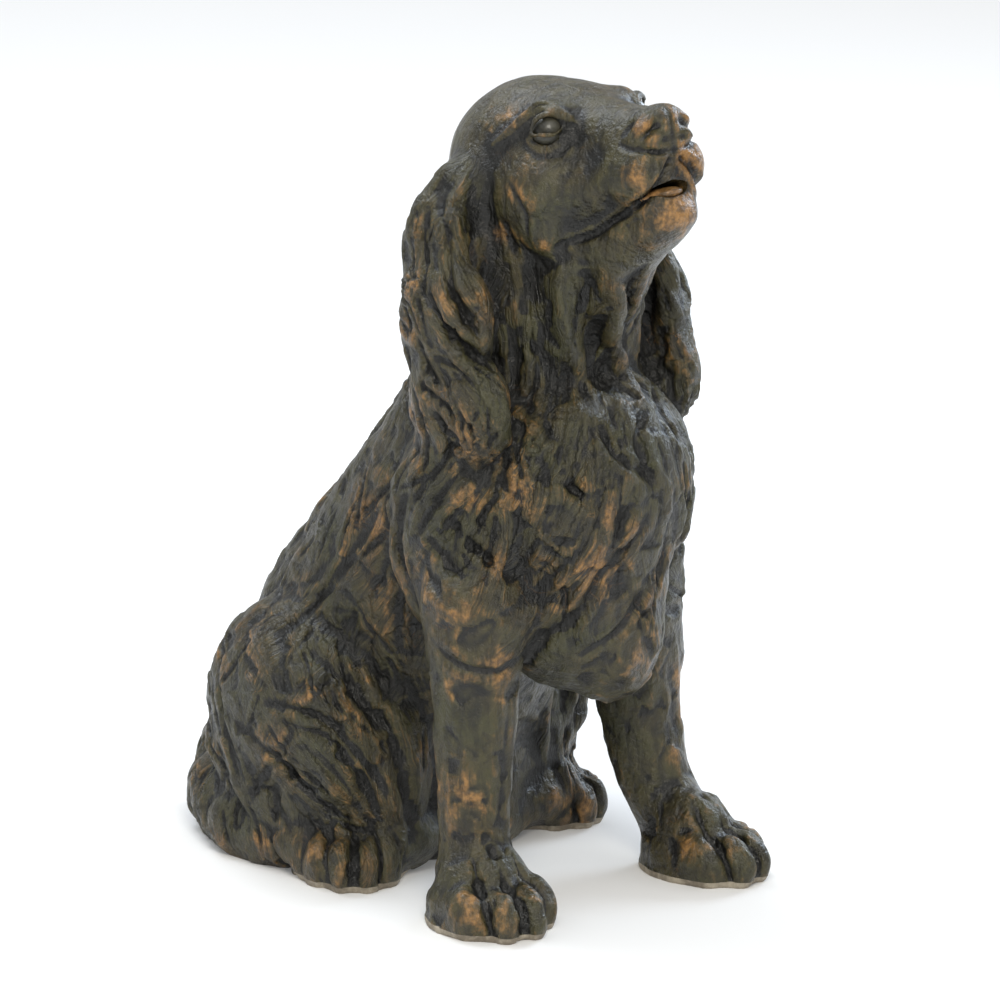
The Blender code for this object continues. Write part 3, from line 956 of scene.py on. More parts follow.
@dataclass
class Ear:
    """Long feathered ear that hangs beside the neck."""

    side: Side
    eggs: tuple[Egg, ...]

    @classmethod
    def right(cls) -> Ear:
        """The right ear, which hangs free in front of the shoulder."""
        return cls(
            Side.RIGHT,
            (
                Egg((-41, 35, 315), (10, 14, 17)),
                Egg((-49, 36, 290), (11, 20, 28)),
                Egg((-56, 26, 260), (12, 25, 32)),
                Egg((-56, 17, 226), (13, 27, 26)),
            ),
        )

    @classmethod
    def left(cls) -> Ear:
        """The left ear, which lies closer to the neck."""
        return cls(
            Side.LEFT,
            (
                Egg((41, 34, 320), (12, 17, 19)),
                Egg((48, 30, 290), (12, 25, 30)),
                Egg((52, 22, 256), (12, 27, 34)),
                Egg((52, 16, 226), (12, 27, 26)),
            ),
        )

    @property
    def strokes(self) -> tuple[Stroke, ...]:
        """Deep pulls between the locks of the ear."""
        return (
            Stroke(((-59, 37, 307), (-61, 36, 297), (-65, 30, 284), (-68, 30, 270)), 1.8, 2.8, 0.8),
            Stroke(((-55, 32, 315), (-57, 23, 299), (-63, 14, 280), (-60, 4, 262)), 2.2, 3.4, 0.8),
            Stroke(((-70, 26, 278), (-69, 11, 263), (-60, 4, 250), (-48, -4, 238)), 2.4, 3.4, 1.0),
            Stroke(((-71, 18, 258), (-64, 3, 246), (-50, -6, 234), (-42, -14, 220)), 2.2, -2.8, 0.0),
            Stroke(((-72, 29, 254), (-70, 25, 245), (-71, 15, 236)), 2.0, 2.8, 0.8),
            Stroke(((-70, 32, 236), (-72, 13, 230), (-70, 2, 222)), 2.2, 2.8, 1.0),
            Stroke(((-46, 22, 304), (-50, 14, 285), (-50, 8, 262), (-44, 4, 244)), 3.2, 5.0, 0.0),
            Stroke(((-73, 19, 224), (-70, 8, 214), (-56, 2, 206)), 1.8, 2.4, 0.8),
        )

    @property
    def rubs(self) -> tuple[Rub, ...]:
        """Bare places along the outer edge of the ear."""
        places = ((-69, 38, 278, 7, 0.9), (-70, 41, 258, 8, 0.7), (-72, 28, 229, 8, 0.4), (-50, -4, 236, 8, 0.4))
        dark = ((-50, 14, 285, 14, -0.6), (-52, 8, 262, 14, -0.5))
        return tuple(Rub((-self.side.value * x, y, z), r, w) for x, y, z, r, w in places + dark)

    def tool(self, skin: Skin) -> None:
        """Pulls the grooves between the locks."""
        for stroke in self.strokes:
            stroke.draw(skin, -self.side.value)
        skin.settle()

    def press(self, bench: Bench) -> None:
        """Builds the leather of the ear."""
        bench.eggs(self.eggs)

    def holds(self, points: np.ndarray, grow: float = 3.5) -> np.ndarray:
        """Says which points belong to the ear."""
        mask = np.zeros(len(points), dtype=bool)
        for egg in self.eggs:
            mask |= egg.holds(points, grow=grow)
        return mask & (points[:, 0] * self.side.value > 27)

    def comb(self, comb: Comb, bed: Bed) -> None:
        """Lays the wavy feathering in crossing layers."""
        rng = bed.rng

        def leather(p: np.ndarray, n: np.ndarray) -> np.ndarray:
            return self.holds(p, 1.5) & (n[:, 0] * self.side.value > -0.35)

        def wave(place: Vector, share: float) -> Vector:
            z = place.z
            ahead = np.interp(z, (190, 215, 240, 270, 300, 335), (-0.9, 0.1, 1.1, 0.9, 0.1, -0.3))
            return Vector((0.0, -ahead, -1.0))

        for root in bed.roots(leather, 9.5):
            if root.z < 214 or (root.y < 24 and root.z > 268):
                continue
            lock = Lock(
                rng.uniform(40, 78), rng.uniform(3.6, 6.6), rng.uniform(2.2, 4.4), rng.uniform(-55, 55), 1.2, 0.8
            )
            comb.lay(root, wave, lock)


@dataclass
class Foreleg:
    """Upright foreleg with its shoulder and paw."""

    side: Side
    shoulder: Egg
    stations: tuple[Station, ...]
    paw: Triple
    heading: float
    length: float
    width: float

    @classmethod
    def right(cls) -> Foreleg:
        """The right foreleg, which stands upright."""
        stations = (
            ((-56, 8, 138), 25), ((-60, 4, 104), 19.5), ((-63, 1, 66), 17), ((-65, -1, 36), 15.5), ((-66, -6, 20), 17),
        )
        return cls(Side.RIGHT, Egg((-46, 26, 165), (27, 36, 52)), stations, (-69, -16, 0), -12, 31, 26)

    @classmethod
    def left(cls) -> Foreleg:
        """The left foreleg, which slopes at the pastern."""
        stations = (
            ((44, 20, 138), 24), ((47, 19, 100), 20), ((49, 17, 66), 18.5), ((51, 9, 38), 16.5), ((53, -5, 18), 15),
        )
        return cls(Side.LEFT, Egg((43, 28, 165), (27, 34, 52)), stations, (54, -20, 0), 8, 31, 22)

    @property
    def strokes(self) -> tuple[Stroke, ...]:
        """Arcs over the shoulder and the ring where the leg leaves the ruff."""
        return (
            Stroke(((-72, 29, 160), (-76, 10, 149), (-68, -10, 138)), 2.4, 1.8, 0.8),
            Stroke(((-72, 23, 171), (-71, 7, 158), (-62, -14, 146)), 2.2, 1.8, 0.8),
            Stroke(((-70, 16, 184), (-65, 1, 168), (-50, -12, 152)), 2.2, 2.0, 0.8),
            Stroke(((-80, 10, 126), (-77, -5, 117), (-62, -15, 114), (-49, -14, 118)), 2.2, 1.8, 0.8),
            Stroke(((-70, 16, 100), (-74, 12, 70), (-74, 10, 40)), 2.6, 1.2, 0.4),
            Stroke(((-58, -16, 96), (-60, -16, 70), (-62, -16, 44)), 2.4, 1.2, 0.4),
        )

    @property
    def rubs(self) -> tuple[Rub, ...]:
        """Bare places on shoulder and shin."""
        if self.side is Side.RIGHT:
            places = (
                (-63, 4, 187, 10, 0.9), (-72, 20, 158, 10, 0.7), (-55, -7, 161, 9, 0.6), (-77, -5, 106, 9, 1.0),
                (-76, -9, 59, 10, 1.2), (-78, -4, 80, 8, 0.6), (-62, -15, 119, 8, 0.8), (-88, -24, 18, 6, 0.9),
                (-64, -42, 12, 7, 0.6), (-62, -16, 40, 12, -0.3),
            )
        else:
            places = (
                (66, 10, 160, 12, 0.6), (60, 4, 80, 10, 0.6), (52, -8, 50, 9, 0.35), (48, -40, 14, 9, 0.5),
                (60, -44, 12, 7, 0.5), (70, 20, 120, 10, 0.5),
            )
        return tuple(Rub((x, y, z), r, w) for x, y, z, r, w in places)

    def tool(self, skin: Skin) -> None:
        """Draws the arcs of the shoulder."""
        for stroke in self.strokes:
            stroke.draw(skin, -self.side.value)
        draw_toes(skin, self.paw, self.heading, self.length, self.width)
        skin.settle()

    def press(self, bench: Bench) -> None:
        """Builds shoulder, leg and paw."""
        bench.egg(self.shoulder)
        bench.roll(self.stations)
        self.crisp(bench)

    def crisp(self, bench: Bench, bed: BVHTree | None = None) -> None:
        """Builds the paw, which keeps its toes."""
        press_paw(bench, self.paw, self.heading, self.length, self.width)


def draw_toes(skin: Skin, place: Triple, heading: float, length: float, width: float) -> None:
    """Cuts the grooves between the toes of a paw.

    Args:
        skin: The fused surface.
        place: Middle of the paw on the ground.
        heading: Turn outwards from straight ahead, in degrees.
        length: Half-length of the paw.
        width: Half-width of the paw.
    """
    frame = Matrix.Translation(Vector(place)) @ Matrix.Rotation(math.radians(heading), 4, "Z")
    for across in (-0.47, 0.0, 0.47):
        back, front = 0.1 - 0.2 * (across == 0.0), 0.86 - abs(across) * 0.35
        path = [
            frame @ Vector((across * width * 0.8, -length * back, 30)),
            frame @ Vector((across * width, -length * (back + front) / 2, 22)),
            frame @ Vector((across * width * 1.1, -length * front, 12)),
            frame @ Vector((across * width * 1.12, -length * (front + 0.12), 4)),
        ]
        skin.crease(path, 1.7, 2.4, 0.4, False)


def press_paw(bench: Bench, place: Triple, heading: float, length: float, width: float) -> None:
    """Builds a round paw with four toes.

    Args:
        bench: Where the clay goes.
        place: Middle of the paw on the ground.
        heading: Turn outwards from straight ahead, in degrees.
        length: Half-length of the paw.
        width: Half-width of the paw.
    """
    frame = Matrix.Translation(Vector(place)) @ Matrix.Rotation(math.radians(heading), 4, "Z")
    bench.egg(Egg((0, 5, 9), (width * 0.98, length * 0.84, 15)), frame)
    bench.egg(Egg((0, 2, 2), (width * 1.04, length * 0.96, 9)), frame)
    bench.egg(Egg((0, 8, 20), (width * 0.78, length * 0.66, 17), (10, 0, 0)), frame)
    for across, ahead in ((-0.70, -0.26), (-0.25, -0.62), (0.25, -0.62), (0.70, -0.26)):
        centre = (across * width, ahead * length, 8)
        bench.egg(Egg(centre, (width * 0.29, length * 0.46, 13.5), (12, 0, 0)), frame)


@dataclass
class Haunch:
    """Folded thigh with its knee and the skirt of hair along the ground."""

    side: Side
    eggs: tuple[Egg, ...]
    paw: Triple
    heading: float
    length: float
    width: float

    @classmethod
    def right(cls) -> Haunch:
        """The right haunch."""
        eggs = (
            Egg((-58, 120, 58), (34, 57, 59), (0, -6, -8)),
            Egg((-50, 84, 48), (24, 30, 46)),
            Egg((-48, 106, 16), (40, 52, 24)),
        )
        return cls(Side.RIGHT, eggs, (-67, 78, 0), -40, 27, 22)

    @classmethod
    def left(cls) -> Haunch:
        """The left haunch, a little narrower."""
        eggs = (
            Egg((55, 128, 57), (32, 51, 58), (0, 6, 8)),
            Egg((42, 97, 46), (21, 26, 44)),
            Egg((44, 112, 16), (38, 48, 22)),
        )
        return cls(Side.LEFT, eggs, (60, 86, 0), 18, 22, 20)

    @property
    def strokes(self) -> tuple[Stroke, ...]:
        """Deep fold before the knee and the long pulls round the thigh."""
        return (
            Stroke(((-80, 90, 102), (-69, 72, 86), (-61, 62, 70), (-56, 56, 49), (-49, 58, 22)), 3.4, 4.6, 1.0),
            Stroke(((-90, 94, 73), (-82, 75, 67), (-72, 67, 50), (-64, 63, 29)), 2.2, 3.0, 1.0),
            Stroke(((-91, 111, 79), (-84, 80, 77), (-75, 69, 64), (-64, 60, 43)), 2.2, 2.6, 1.0),
            Stroke(((-91, 126, 66), (-91, 99, 54), (-82, 82, 37), (-74, 72, 26)), 2.2, 2.8, 1.0),
            Stroke(((-86, 123, 32), (-92, 102, 52), (-88, 89, 70)), 2.0, 2.0, 0.8),
            Stroke(((-87, 141, 76), (-89, 134, 51), (-87, 121, 33)), 2.0, 2.2, 0.8),
            Stroke(((-84, 90, 60), (-78, 78, 50), (-72, 74, 38)), 2.6, -2.4, 0.0),
            Stroke(((-80, 150, 90), (-88, 138, 66), (-90, 128, 42)), 2.0, 2.0, 0.8),
        )

    @property
    def rubs(self) -> tuple[Rub, ...]:
        """Bare places on the thigh."""
        places = (
            (-89, 120, 88, 9, 0.9), (-84, 86, 86, 7, 1.2), (-86, 141, 84, 8, 0.8), (-91, 98, 62, 8, 0.3),
            (-76, 69, 58, 7, 0.4), (-62, 64, 60, 9, -0.6), (-54, 58, 40, 10, -0.6),
        )
        return tuple(Rub((-self.side.value * x, y, z), r, w) for x, y, z, r, w in places)

    def tool(self, skin: Skin) -> None:
        """Draws the folds of the thigh."""
        for stroke in self.strokes:
            stroke.draw(skin, -self.side.value)
        draw_toes(skin, self.paw, self.heading, self.length, self.width)
        skin.settle()

    def press(self, bench: Bench) -> None:
        """Builds thigh, knee, skirt and paw."""
        bench.eggs(self.eggs)
        self.crisp(bench)

    def crisp(self, bench: Bench, bed: BVHTree | None = None) -> None:
        """Builds the paw, which keeps its toes."""
        press_paw(bench, self.paw, self.heading, self.length, self.width)

    def comb(self, comb: Comb, bed: Bed) -> None:
        """Lays the folds of the thigh and the skirt below it."""
        rng = bed.rng
        sign = self.side.value

        def thigh(p: np.ndarray, n: np.ndarray) -> np.ndarray:
            return (p[:, 0] * sign > 45) & (p[:, 1] > 62) & (p[:, 2] > 48) & (p[:, 2] < 122) & (n[:, 0] * sign > 0.1)

        for root in bed.roots(thigh, 17):
            ahead = np.interp(root.y, (60, 100, 130, 170), (0.3, 0.9, 0.9, 0.0))
            lock = Lock(rng.uniform(36, 66), rng.uniform(7, 12), rng.uniform(1.6, 3.0), rng.uniform(-30, 30))
            comb.lay(root, run(0.0, -ahead, -0.9), lock)

        def skirt(p: np.ndarray, n: np.ndarray) -> np.ndarray:
            return (p[:, 0] * sign > 30) & (p[:, 1] > 96) & (p[:, 2] > 14) & (p[:, 2] < 46)

        for root in bed.roots(skirt, 10):
            out = Vector((sign * 0.5, (root.y - 120) / 70.0, -1.0))
            lock = Lock(rng.uniform(24, 38), rng.uniform(5, 9), rng.uniform(2.2, 4.2), rng.uniform(-40, 40), 1.0, 0.9)
            comb.lay(root, run(*out), lock)


@dataclass
class Tail:
    """Tail that comes round from the back to lie along the right haunch."""

    stations: tuple[Station, ...] = (
        ((8, 188, 32), 22),
        ((-28, 194, 21), 22),
        ((-56, 171, 17), 19),
        ((-74, 143, 13), 15),
        ((-79, 118, 9), 9),
    )

    rubs: tuple[Rub, ...] = (
        Rub((-89, 115, 14), 8, 0.9),
        Rub((-90, 158, 24), 9, 0.4),
        Rub((-60, 200, 30), 14, 0.4),
        Rub((10, 214, 40), 14, 0.4),
    )

    def press(self, bench: Bench) -> None:
        """Builds the roll of the tail."""
        bench.roll(self.stations)

    def comb(self, comb: Comb, bed: Bed) -> None:
        """Lays the fringe that falls outwards from the tail."""
        rng = bed.rng

        def fringe(p: np.ndarray, n: np.ndarray) -> np.ndarray:
            return (p[:, 1] > 130) & (p[:, 2] > 16) & (p[:, 2] < 62) & (p[:, 0] < 35) & (n[:, 2] > -0.3)

        for root in bed.roots(fringe, 10):
            out = Vector((root.x + 10, root.y - 130, 0)).normalized()
            around = Vector((-out.y, out.x, 0))
            way = out * 0.7 + around * 0.6 + Vector((0, 0, -1.0))
            lock = Lock(rng.uniform(26, 46), rng.uniform(5, 9.5), rng.uniform(2.6, 5), rng.uniform(-50, 50), 1.5, 0.8)
            comb.lay(root, run(*way), lock)


# --- tooling: what is drawn over the fused surface ---------------------------------------------


def head_path(axes: Matrix, *places: Triple) -> list[Vector]:
    """Carries places from the head's axes to the dog's."""
    return [axes @ Vector(p) for p in places]


@dataclass(frozen=True)
class Cut:
    """One section of the piece mould.

    Attributes:
        node: Node of the frame that the clay inside belongs to.
        form: Shape of the section.
        axes: Axes the shape is given in, or None for the dog's own.
    """

    node: str
    form: Egg | Block
    axes: Matrix | None = None


@dataclass
class Mould:
    """The section lines, in the order the clay is taken apart."""

    ears: tuple[Ear, ...]
    axes: Matrix = field(default_factory=head_axes)
    sole: float = 3.0
    collar: float = 214.0
    soled: tuple[str, ...] = ("foreleg_right", "foreleg_left", "hind_paw_right", "hind_paw_left")

    @property
    def cuts(self) -> tuple[Cut, ...]:
        """Sections after the ears, first come first served."""
        return (
            Cut("head", Egg((0, -16, 346), (74, 104, 66))),
            Cut("foreleg_right", Egg((-68, -6, 40), (36, 52, 88), (0, 4, 0))),
            Cut("foreleg_left", Egg((60, -4, 40), (36, 60, 88), (0, -2, 0))),
            Cut("hind_paw_right", Egg((-72, 72, 8), (29, 30, 27))),
            Cut("hind_paw_left", Egg((62, 79, 8), (27, 28, 26))),
            Cut("tail", Egg((-44, 190, 14), (84, 40, 46), (0, 0, 34))),
            Cut("haunch_right", Egg((-94, 114, 46), (46, 84, 74))),
            Cut("haunch_left", Egg((94, 114, 46), (46, 84, 74))),
            Cut("chest_ruff", Egg((0, -40, 160), (70, 62, 92))),
        )

    def cutter(self, form: Egg | Block, axes: Matrix | None = None) -> bpy.types.Object:
        """Makes one section's cutting form.

        Args:
            form: Its shape.
            axes: Axes it is given in, or None for the dog's own.

        Returns:
            A closed object, in millimetres.
        """
        bm = bmesh.new()
        if isinstance(form, Egg):
            bmesh.ops.create_icosphere(bm, subdivisions=4, radius=1.0, matrix=form.place(axes))
        else:
            low, high = Vector(form.low), Vector(form.high)
            size = Matrix.Diagonal((*(high - low), 1.0))
            place = (axes or Matrix.Identity(4)) @ Matrix.Translation((low + high) / 2) @ size
            bmesh.ops.create_cube(bm, size=1.0, matrix=place)
        bmesh.ops.recalc_face_normals(bm, faces=bm.faces)
        return self.wrap(bm, "cutter")

    def wrap(self, bm: bmesh.types.BMesh, name: str) -> bpy.types.Object:
        """Turns a bmesh into an object of the scene."""
        mesh = bpy.data.meshes.new(name)
        bm.to_mesh(mesh)
        bm.free()
        thing = bpy.data.objects.new(name, mesh)
        bpy.context.scene.collection.objects.link(thing)
        return thing

    def part_off(self, body: bpy.types.Object, tool: bpy.types.Object, name: str) -> bpy.types.Object:
        """Takes what lies inside a cutting form off the body.

        Args:
            body: What is cut; it keeps the rest.
            tool: The cutting form, which is used up.
            name: Name of the section that comes off.

        Returns:
            The section.
        """
        section = bpy.data.objects.new(name, body.data)
        bpy.context.scene.collection.objects.link(section)
        for thing, kind in ((section, "INTERSECT"), (body, "DIFFERENCE")):
            cut = thing.modifiers.new("cut", "BOOLEAN")
            cut.operation, cut.solver, cut.object = kind, "MANIFOLD", tool
        graph = bpy.context.evaluated_depsgraph_get()
        results = [bpy.data.meshes.new_from_object(thing.evaluated_get(graph)) for thing in (section, body)]
        for thing, mesh in zip((section, body), results):
            thing.modifiers.clear()
            thing.data = mesh
        bpy.data.objects.remove(tool)
        return section

    def take_apart(self, body: bpy.types.Object) -> dict[str, bpy.types.Object]:
        """Cuts the figure into its sections.

        Args:
            body: The whole figure, in millimetres; it is used up.

        Returns:
            One object for each node name.
        """
        pieces: dict[str, bpy.types.Object] = {}
        for ear in self.ears:
            bench = Bench()
            for egg in ear.eggs:
                bench.egg(Egg(egg.centre, tuple(r + 6.5 for r in egg.radii)), None, 4)
            tool = bench.press("cutter", 2.0, 1)
            name = f"ear_{ear.side.word}"
            guard = self.part_off(tool, self.cutter(Block((-27, -90, 100), (27, 90, 380))), "middle")
            bpy.data.objects.remove(guard)
            pieces[name] = self.part_off(body, tool, name)
        for cut in self.cuts:
            pieces[cut.node] = self.part_off(body, self.cutter(cut.form, cut.axes), cut.node)
        jaw = self.cutter(Block((-40, 40, -90), (40, 115, -29)), self.axes)
        pieces["lower_jaw"] = self.part_off(pieces["head"], jaw, "lower_jaw")
        neck = self.cutter(Block((-120, -120, self.collar), (120, 140, 420)))
        pieces["mane"] = self.part_off(body, neck, "mane")
        pieces["torso"] = body
        for name in self.soled:
            slab = self.cutter(Block((-200, -200, -20), (200, 300, self.sole)))
            pieces[f"{name}_sole"] = self.part_off(pieces[name], slab, f"{name}_sole")
        return pieces


# --- finishes ---------------------------------------------------------------------------------

Colour = tuple[float, float, float, float]


@dataclass(frozen=True)
class Nodes:
    """Short ways to lay shader nodes in one tree."""

    tree: bpy.types.NodeTree

    def add(self, kind: str, **settings: object) -> bpy.types.Node:
        """Adds one node and sets its own settings."""
        node = self.tree.nodes.new(kind)
        for name, value in settings.items():
            setattr(node, name, value)
        return node

    def link(self, source: object, target: bpy.types.NodeSocket) -> None:
        """Joins a source to a socket, or writes a plain value on it."""
        if isinstance(source, bpy.types.NodeSocket):
            self.tree.links.new(source, target)
        else:
            target.default_value = source

    def trait(self, name: str) -> bpy.types.NodeSocket:
        """Reads one of the clay's own attributes."""
        return self.add("ShaderNodeAttribute", attribute_name=name).outputs["Fac"]

    def place(self) -> bpy.types.NodeSocket:
        """Reads the place on the piece."""
        return self.add("ShaderNodeTexCoord").outputs["Object"]

    def stretch(self, place: bpy.types.NodeSocket, scale: Triple, turn: Triple = (0, 0, 0)) -> bpy.types.NodeSocket:
        """Stretches and turns the place that a pattern is read at."""
        node = self.add("ShaderNodeMapping")
        self.link(place, node.inputs["Vector"])
        node.inputs["Scale"].default_value = scale
        node.inputs["Rotation"].default_value = [math.radians(a) for a in turn]
        return node.outputs["Vector"]

    def grain(
        self, place: bpy.types.NodeSocket, scale: float, detail: float = 4.0, rough: float = 0.55, twist: float = 0.0
    ) -> bpy.types.NodeSocket:
        """Lays cloudy noise."""
        node = self.add("ShaderNodeTexNoise", noise_dimensions="3D")
        self.link(place, node.inputs["Vector"])
        node.inputs["Scale"].default_value = scale
        node.inputs["Detail"].default_value = detail
        node.inputs["Roughness"].default_value = rough
        node.inputs["Distortion"].default_value = twist
        return node.outputs["Fac"]

    def sum(self, kind: str, first: object, second: object, clamp: bool = False) -> bpy.types.NodeSocket:
        """Works one sum on two values."""
        node = self.add("ShaderNodeMath", operation=kind, use_clamp=clamp)
        self.link(first, node.inputs[0])
        self.link(second, node.inputs[1])
        return node.outputs[0]

    def ramp(self, value: object, low: float, high: float, out: tuple[float, float] = (0, 1)) -> bpy.types.NodeSocket:
        """Spreads a value from one span to another, softly."""
        node = self.add("ShaderNodeMapRange", interpolation_type="SMOOTHSTEP")
        self.link(value, node.inputs["Value"])
        node.inputs["From Min"].default_value = low
        node.inputs["From Max"].default_value = high
        node.inputs["To Min"].default_value = out[0]
        node.inputs["To Max"].default_value = out[1]
        return node.outputs["Result"]

    def blend(self, share: object, first: object, second: object, kind: str = "MIX") -> bpy.types.NodeSocket:
        """Blends two colours."""
        node = self.add("ShaderNodeMix", data_type="RGBA", blend_type=kind)
        self.link(share, node.inputs[0])
        self.link(first, node.inputs[6])
        self.link(second, node.inputs[7])
        return node.outputs[2]


@dataclass(frozen=True)
class Patina:
    """Dark olive stain, wiped back to ochre on the high places, under a thin wax, with painted shade darkening the
    hollows.

    Attributes:
        name: Name of the finish.
        pooled_stain_and_shade: Stain that pools in the hollows, made darker there as painted shade.
        moss: Greener stain over the broad surfaces.
        umber: Browner stain over the broad surfaces.
        ochre: Clay colour where the stain is wiped off.
        wiped: How much of the high places is wiped back, from 0 to 1.
        relief: Depth of the fine modelling marks, in metres.
        gloss: Roughness of the waxed places.
    """

    name: str = "patina"
    pooled_stain_and_shade: Colour = (0.006, 0.006, 0.005, 1)
    moss: Colour = (0.048, 0.047, 0.018, 1)
    umber: Colour = (0.062, 0.047, 0.018, 1)
    ochre: Colour = (0.35, 0.185, 0.058, 1)
    wiped: float = 0.06
    relief: float = 0.0023
    gloss: float = 0.30

    def make(self) -> bpy.types.Material:
        """Builds the finish.

        Returns:
            The material.
        """
        material = bpy.data.materials.new(self.name)
        material.use_nodes = True
        tree = material.node_tree
        n = Nodes(tree)
        shader = tree.nodes["Principled BSDF"]
        place = n.place()
        ridge, swell, rub = n.trait("ridge"), n.trait("swell"), n.trait("rub")
        clouds = n.grain(place, 26, 5, 0.6, 0.4)
        mottle = n.grain(place, 95, 5, 0.65, 0.6)
        specks = n.grain(place, 420, 4, 0.6)
        across, hair = n.trait("across"), n.trait("hair")
        lie = n.add("ShaderNodeCombineXYZ")
        n.link(n.sum("MULTIPLY", across, 0.9), lie.inputs["X"])
        drawn = n.add("ShaderNodeVectorMath", operation="MULTIPLY_ADD")
        n.link(place, drawn.inputs[0])
        drawn.inputs[1].default_value = (45, 45, 45)
        n.link(lie.outputs[0], drawn.inputs[2])
        combed = n.grain(drawn.outputs[0], 1.0, 4, 0.6, 0.3)
        plain = n.grain(n.stretch(place, (1, 1, 0.25), (18, 10, 0)), 210, 5, 0.6, 0.5)
        choice = n.add("ShaderNodeMix", data_type="FLOAT")
        n.link(hair, choice.inputs[0])
        n.link(plain, choice.inputs[2])
        n.link(combed, choice.inputs[3])
        streaks = choice.outputs[0]
        broad = n.blend(n.ramp(clouds, 0.30, 0.70), self.moss, self.umber)
        # Painted shade: hollows and creases, found from the ridge and swell of the surface, are darkened towards the
        # dark hollow colour; this is partly real stain pooled in recesses and partly shade painted into the colour.
        hollow = n.ramp(n.sum("ADD", ridge, n.sum("MULTIPLY", swell, 0.8)), -0.70, 0.50)
        tone = n.sum("MULTIPLY", hollow, n.ramp(mottle, 0.30, 0.62, (0.30, 1.0)))
        tone = n.sum("MULTIPLY", tone, n.ramp(streaks, 0.30, 0.62, (0.45, 1.25)))
        # The stain mix below holds the painted shade of the hollows as well as the real stain.
        stain = n.blend(tone, self.pooled_stain_and_shade, broad)
        high = n.sum("ADD", n.sum("MULTIPLY", ridge, 0.30), n.sum("MULTIPLY", swell, 0.22))
        vein = n.sum("ABSOLUTE", n.sum("SUBTRACT", n.grain(place, 60, 3, 0.5, 1.2), 0.5), 0.0)
        veins = n.sum("MULTIPLY", n.ramp(vein, 0.02, 0.0), n.ramp(clouds, 0.54, 0.64))
        wear = n.sum("ADD", high, n.sum("MULTIPLY", n.sum("SUBTRACT", mottle, 0.5), 1.7))
        wear = n.sum("ADD", wear, n.sum("MULTIPLY", n.sum("SUBTRACT", clouds, 0.5), 2.6))
        wear = n.sum("ADD", wear, n.sum("MULTIPLY", rub, 0.62))
        wear = n.sum("ADD", wear, n.sum("MULTIPLY", n.sum("SUBTRACT", streaks, 0.5), 2.0))
        wiped = n.ramp(wear, 0.50 - self.wiped, 1.40 - self.wiped, (0.0, 0.95))
        wiped = n.sum("MAXIMUM", wiped, n.sum("MULTIPLY", veins, 0.22))
        clay = n.blend(n.ramp(specks, 0.35, 0.65), self.ochre, (0.13, 0.072, 0.028, 1))
        n.link(n.blend(wiped, stain, clay), shader.inputs["Base Color"])
        sheen = n.ramp(n.sum("ADD", n.sum("MULTIPLY", mottle, 0.7), n.sum("MULTIPLY", specks, 0.3)), 0.3, 0.7)
        rough = n.blend(sheen, (self.gloss,) * 3 + (1,), (self.gloss + 0.2,) * 3 + (1,))
        n.link(rough, shader.inputs["Roughness"])
        shader.inputs["Specular IOR Level"].default_value = 0.38
        shader.inputs["Coat Weight"].default_value = 0.28
        shader.inputs["Coat Roughness"].default_value = 0.15
        marks = n.sum("ADD", n.sum("MULTIPLY", streaks, 0.55), n.sum("MULTIPLY", mottle, 0.7))
        marks = n.sum("ADD", marks, n.sum("MULTIPLY", specks, 0.40))
        bump = n.add("ShaderNodeBump")
        bump.inputs["Strength"].default_value = 1.0
        bump.inputs["Distance"].default_value = self.relief
        n.link(marks, bump.inputs["Height"])
        n.link(bump.outputs["Normal"], shader.inputs["Normal"])
        n.link(bump.outputs["Normal"], shader.inputs["Coat Normal"])
        return material


@dataclass(frozen=True)
class Glaze:
    """Thick brushed stain with no bare clay, for eyes and tongue.

    Attributes:
        name: Name of the finish.
        dark: Colour where the stain pools.
        light: Colour where it thins.
        spread: How fine its clouds are.
        gloss: Roughness.
        coat: Strength of the wax over it.
        relief: Depth of its brush marks, in metres.
    """

    name: str
    dark: Colour
    light: Colour
    spread: float
    gloss: float
    coat: float
    relief: float

    def make(self) -> bpy.types.Material:
        """Builds the finish.

        Returns:
            The material.
        """
        material = bpy.data.materials.new(self.name)
        material.use_nodes = True
        n = Nodes(material.node_tree)
        shader = material.node_tree.nodes["Principled BSDF"]
        place = n.place()
        clouds = n.grain(place, self.spread, 5, 0.6, 0.5)
        specks = n.grain(place, self.spread * 5, 4, 0.6)
        tone = n.sum("ADD", n.sum("MULTIPLY", clouds, 0.7), n.sum("MULTIPLY", specks, 0.3))
        n.link(n.blend(n.ramp(tone, 0.36, 0.64), self.dark, self.light), shader.inputs["Base Color"])
        rough = n.blend(n.ramp(clouds, 0.3, 0.7), (self.gloss,) * 3 + (1,), (self.gloss + 0.2,) * 3 + (1,))
        n.link(rough, shader.inputs["Roughness"])
        shader.inputs["Coat Weight"].default_value = self.coat
        shader.inputs["Coat Roughness"].default_value = 0.12
        bump = n.add("ShaderNodeBump")
        bump.inputs["Strength"].default_value = 1.0
        bump.inputs["Distance"].default_value = self.relief
        n.link(tone, bump.inputs["Height"])
        n.link(bump.outputs["Normal"], shader.inputs["Normal"])
        return material


EYE = Glaze("eye_stain", (0.010, 0.010, 0.008, 1), (0.045, 0.042, 0.026, 1), 160, 0.30, 0.3, 0.0008)
TONGUE = Glaze("tongue_stain", (0.080, 0.046, 0.017, 1), (0.400, 0.210, 0.075, 1), 140, 0.34, 0.2, 0.0008)
SOLE = Glaze("sole_clay", (0.180, 0.150, 0.110, 1), (0.420, 0.370, 0.290, 1), 90, 0.62, 0.0, 0.0006)


# --- the whole figure -------------------------------------------------------------------------


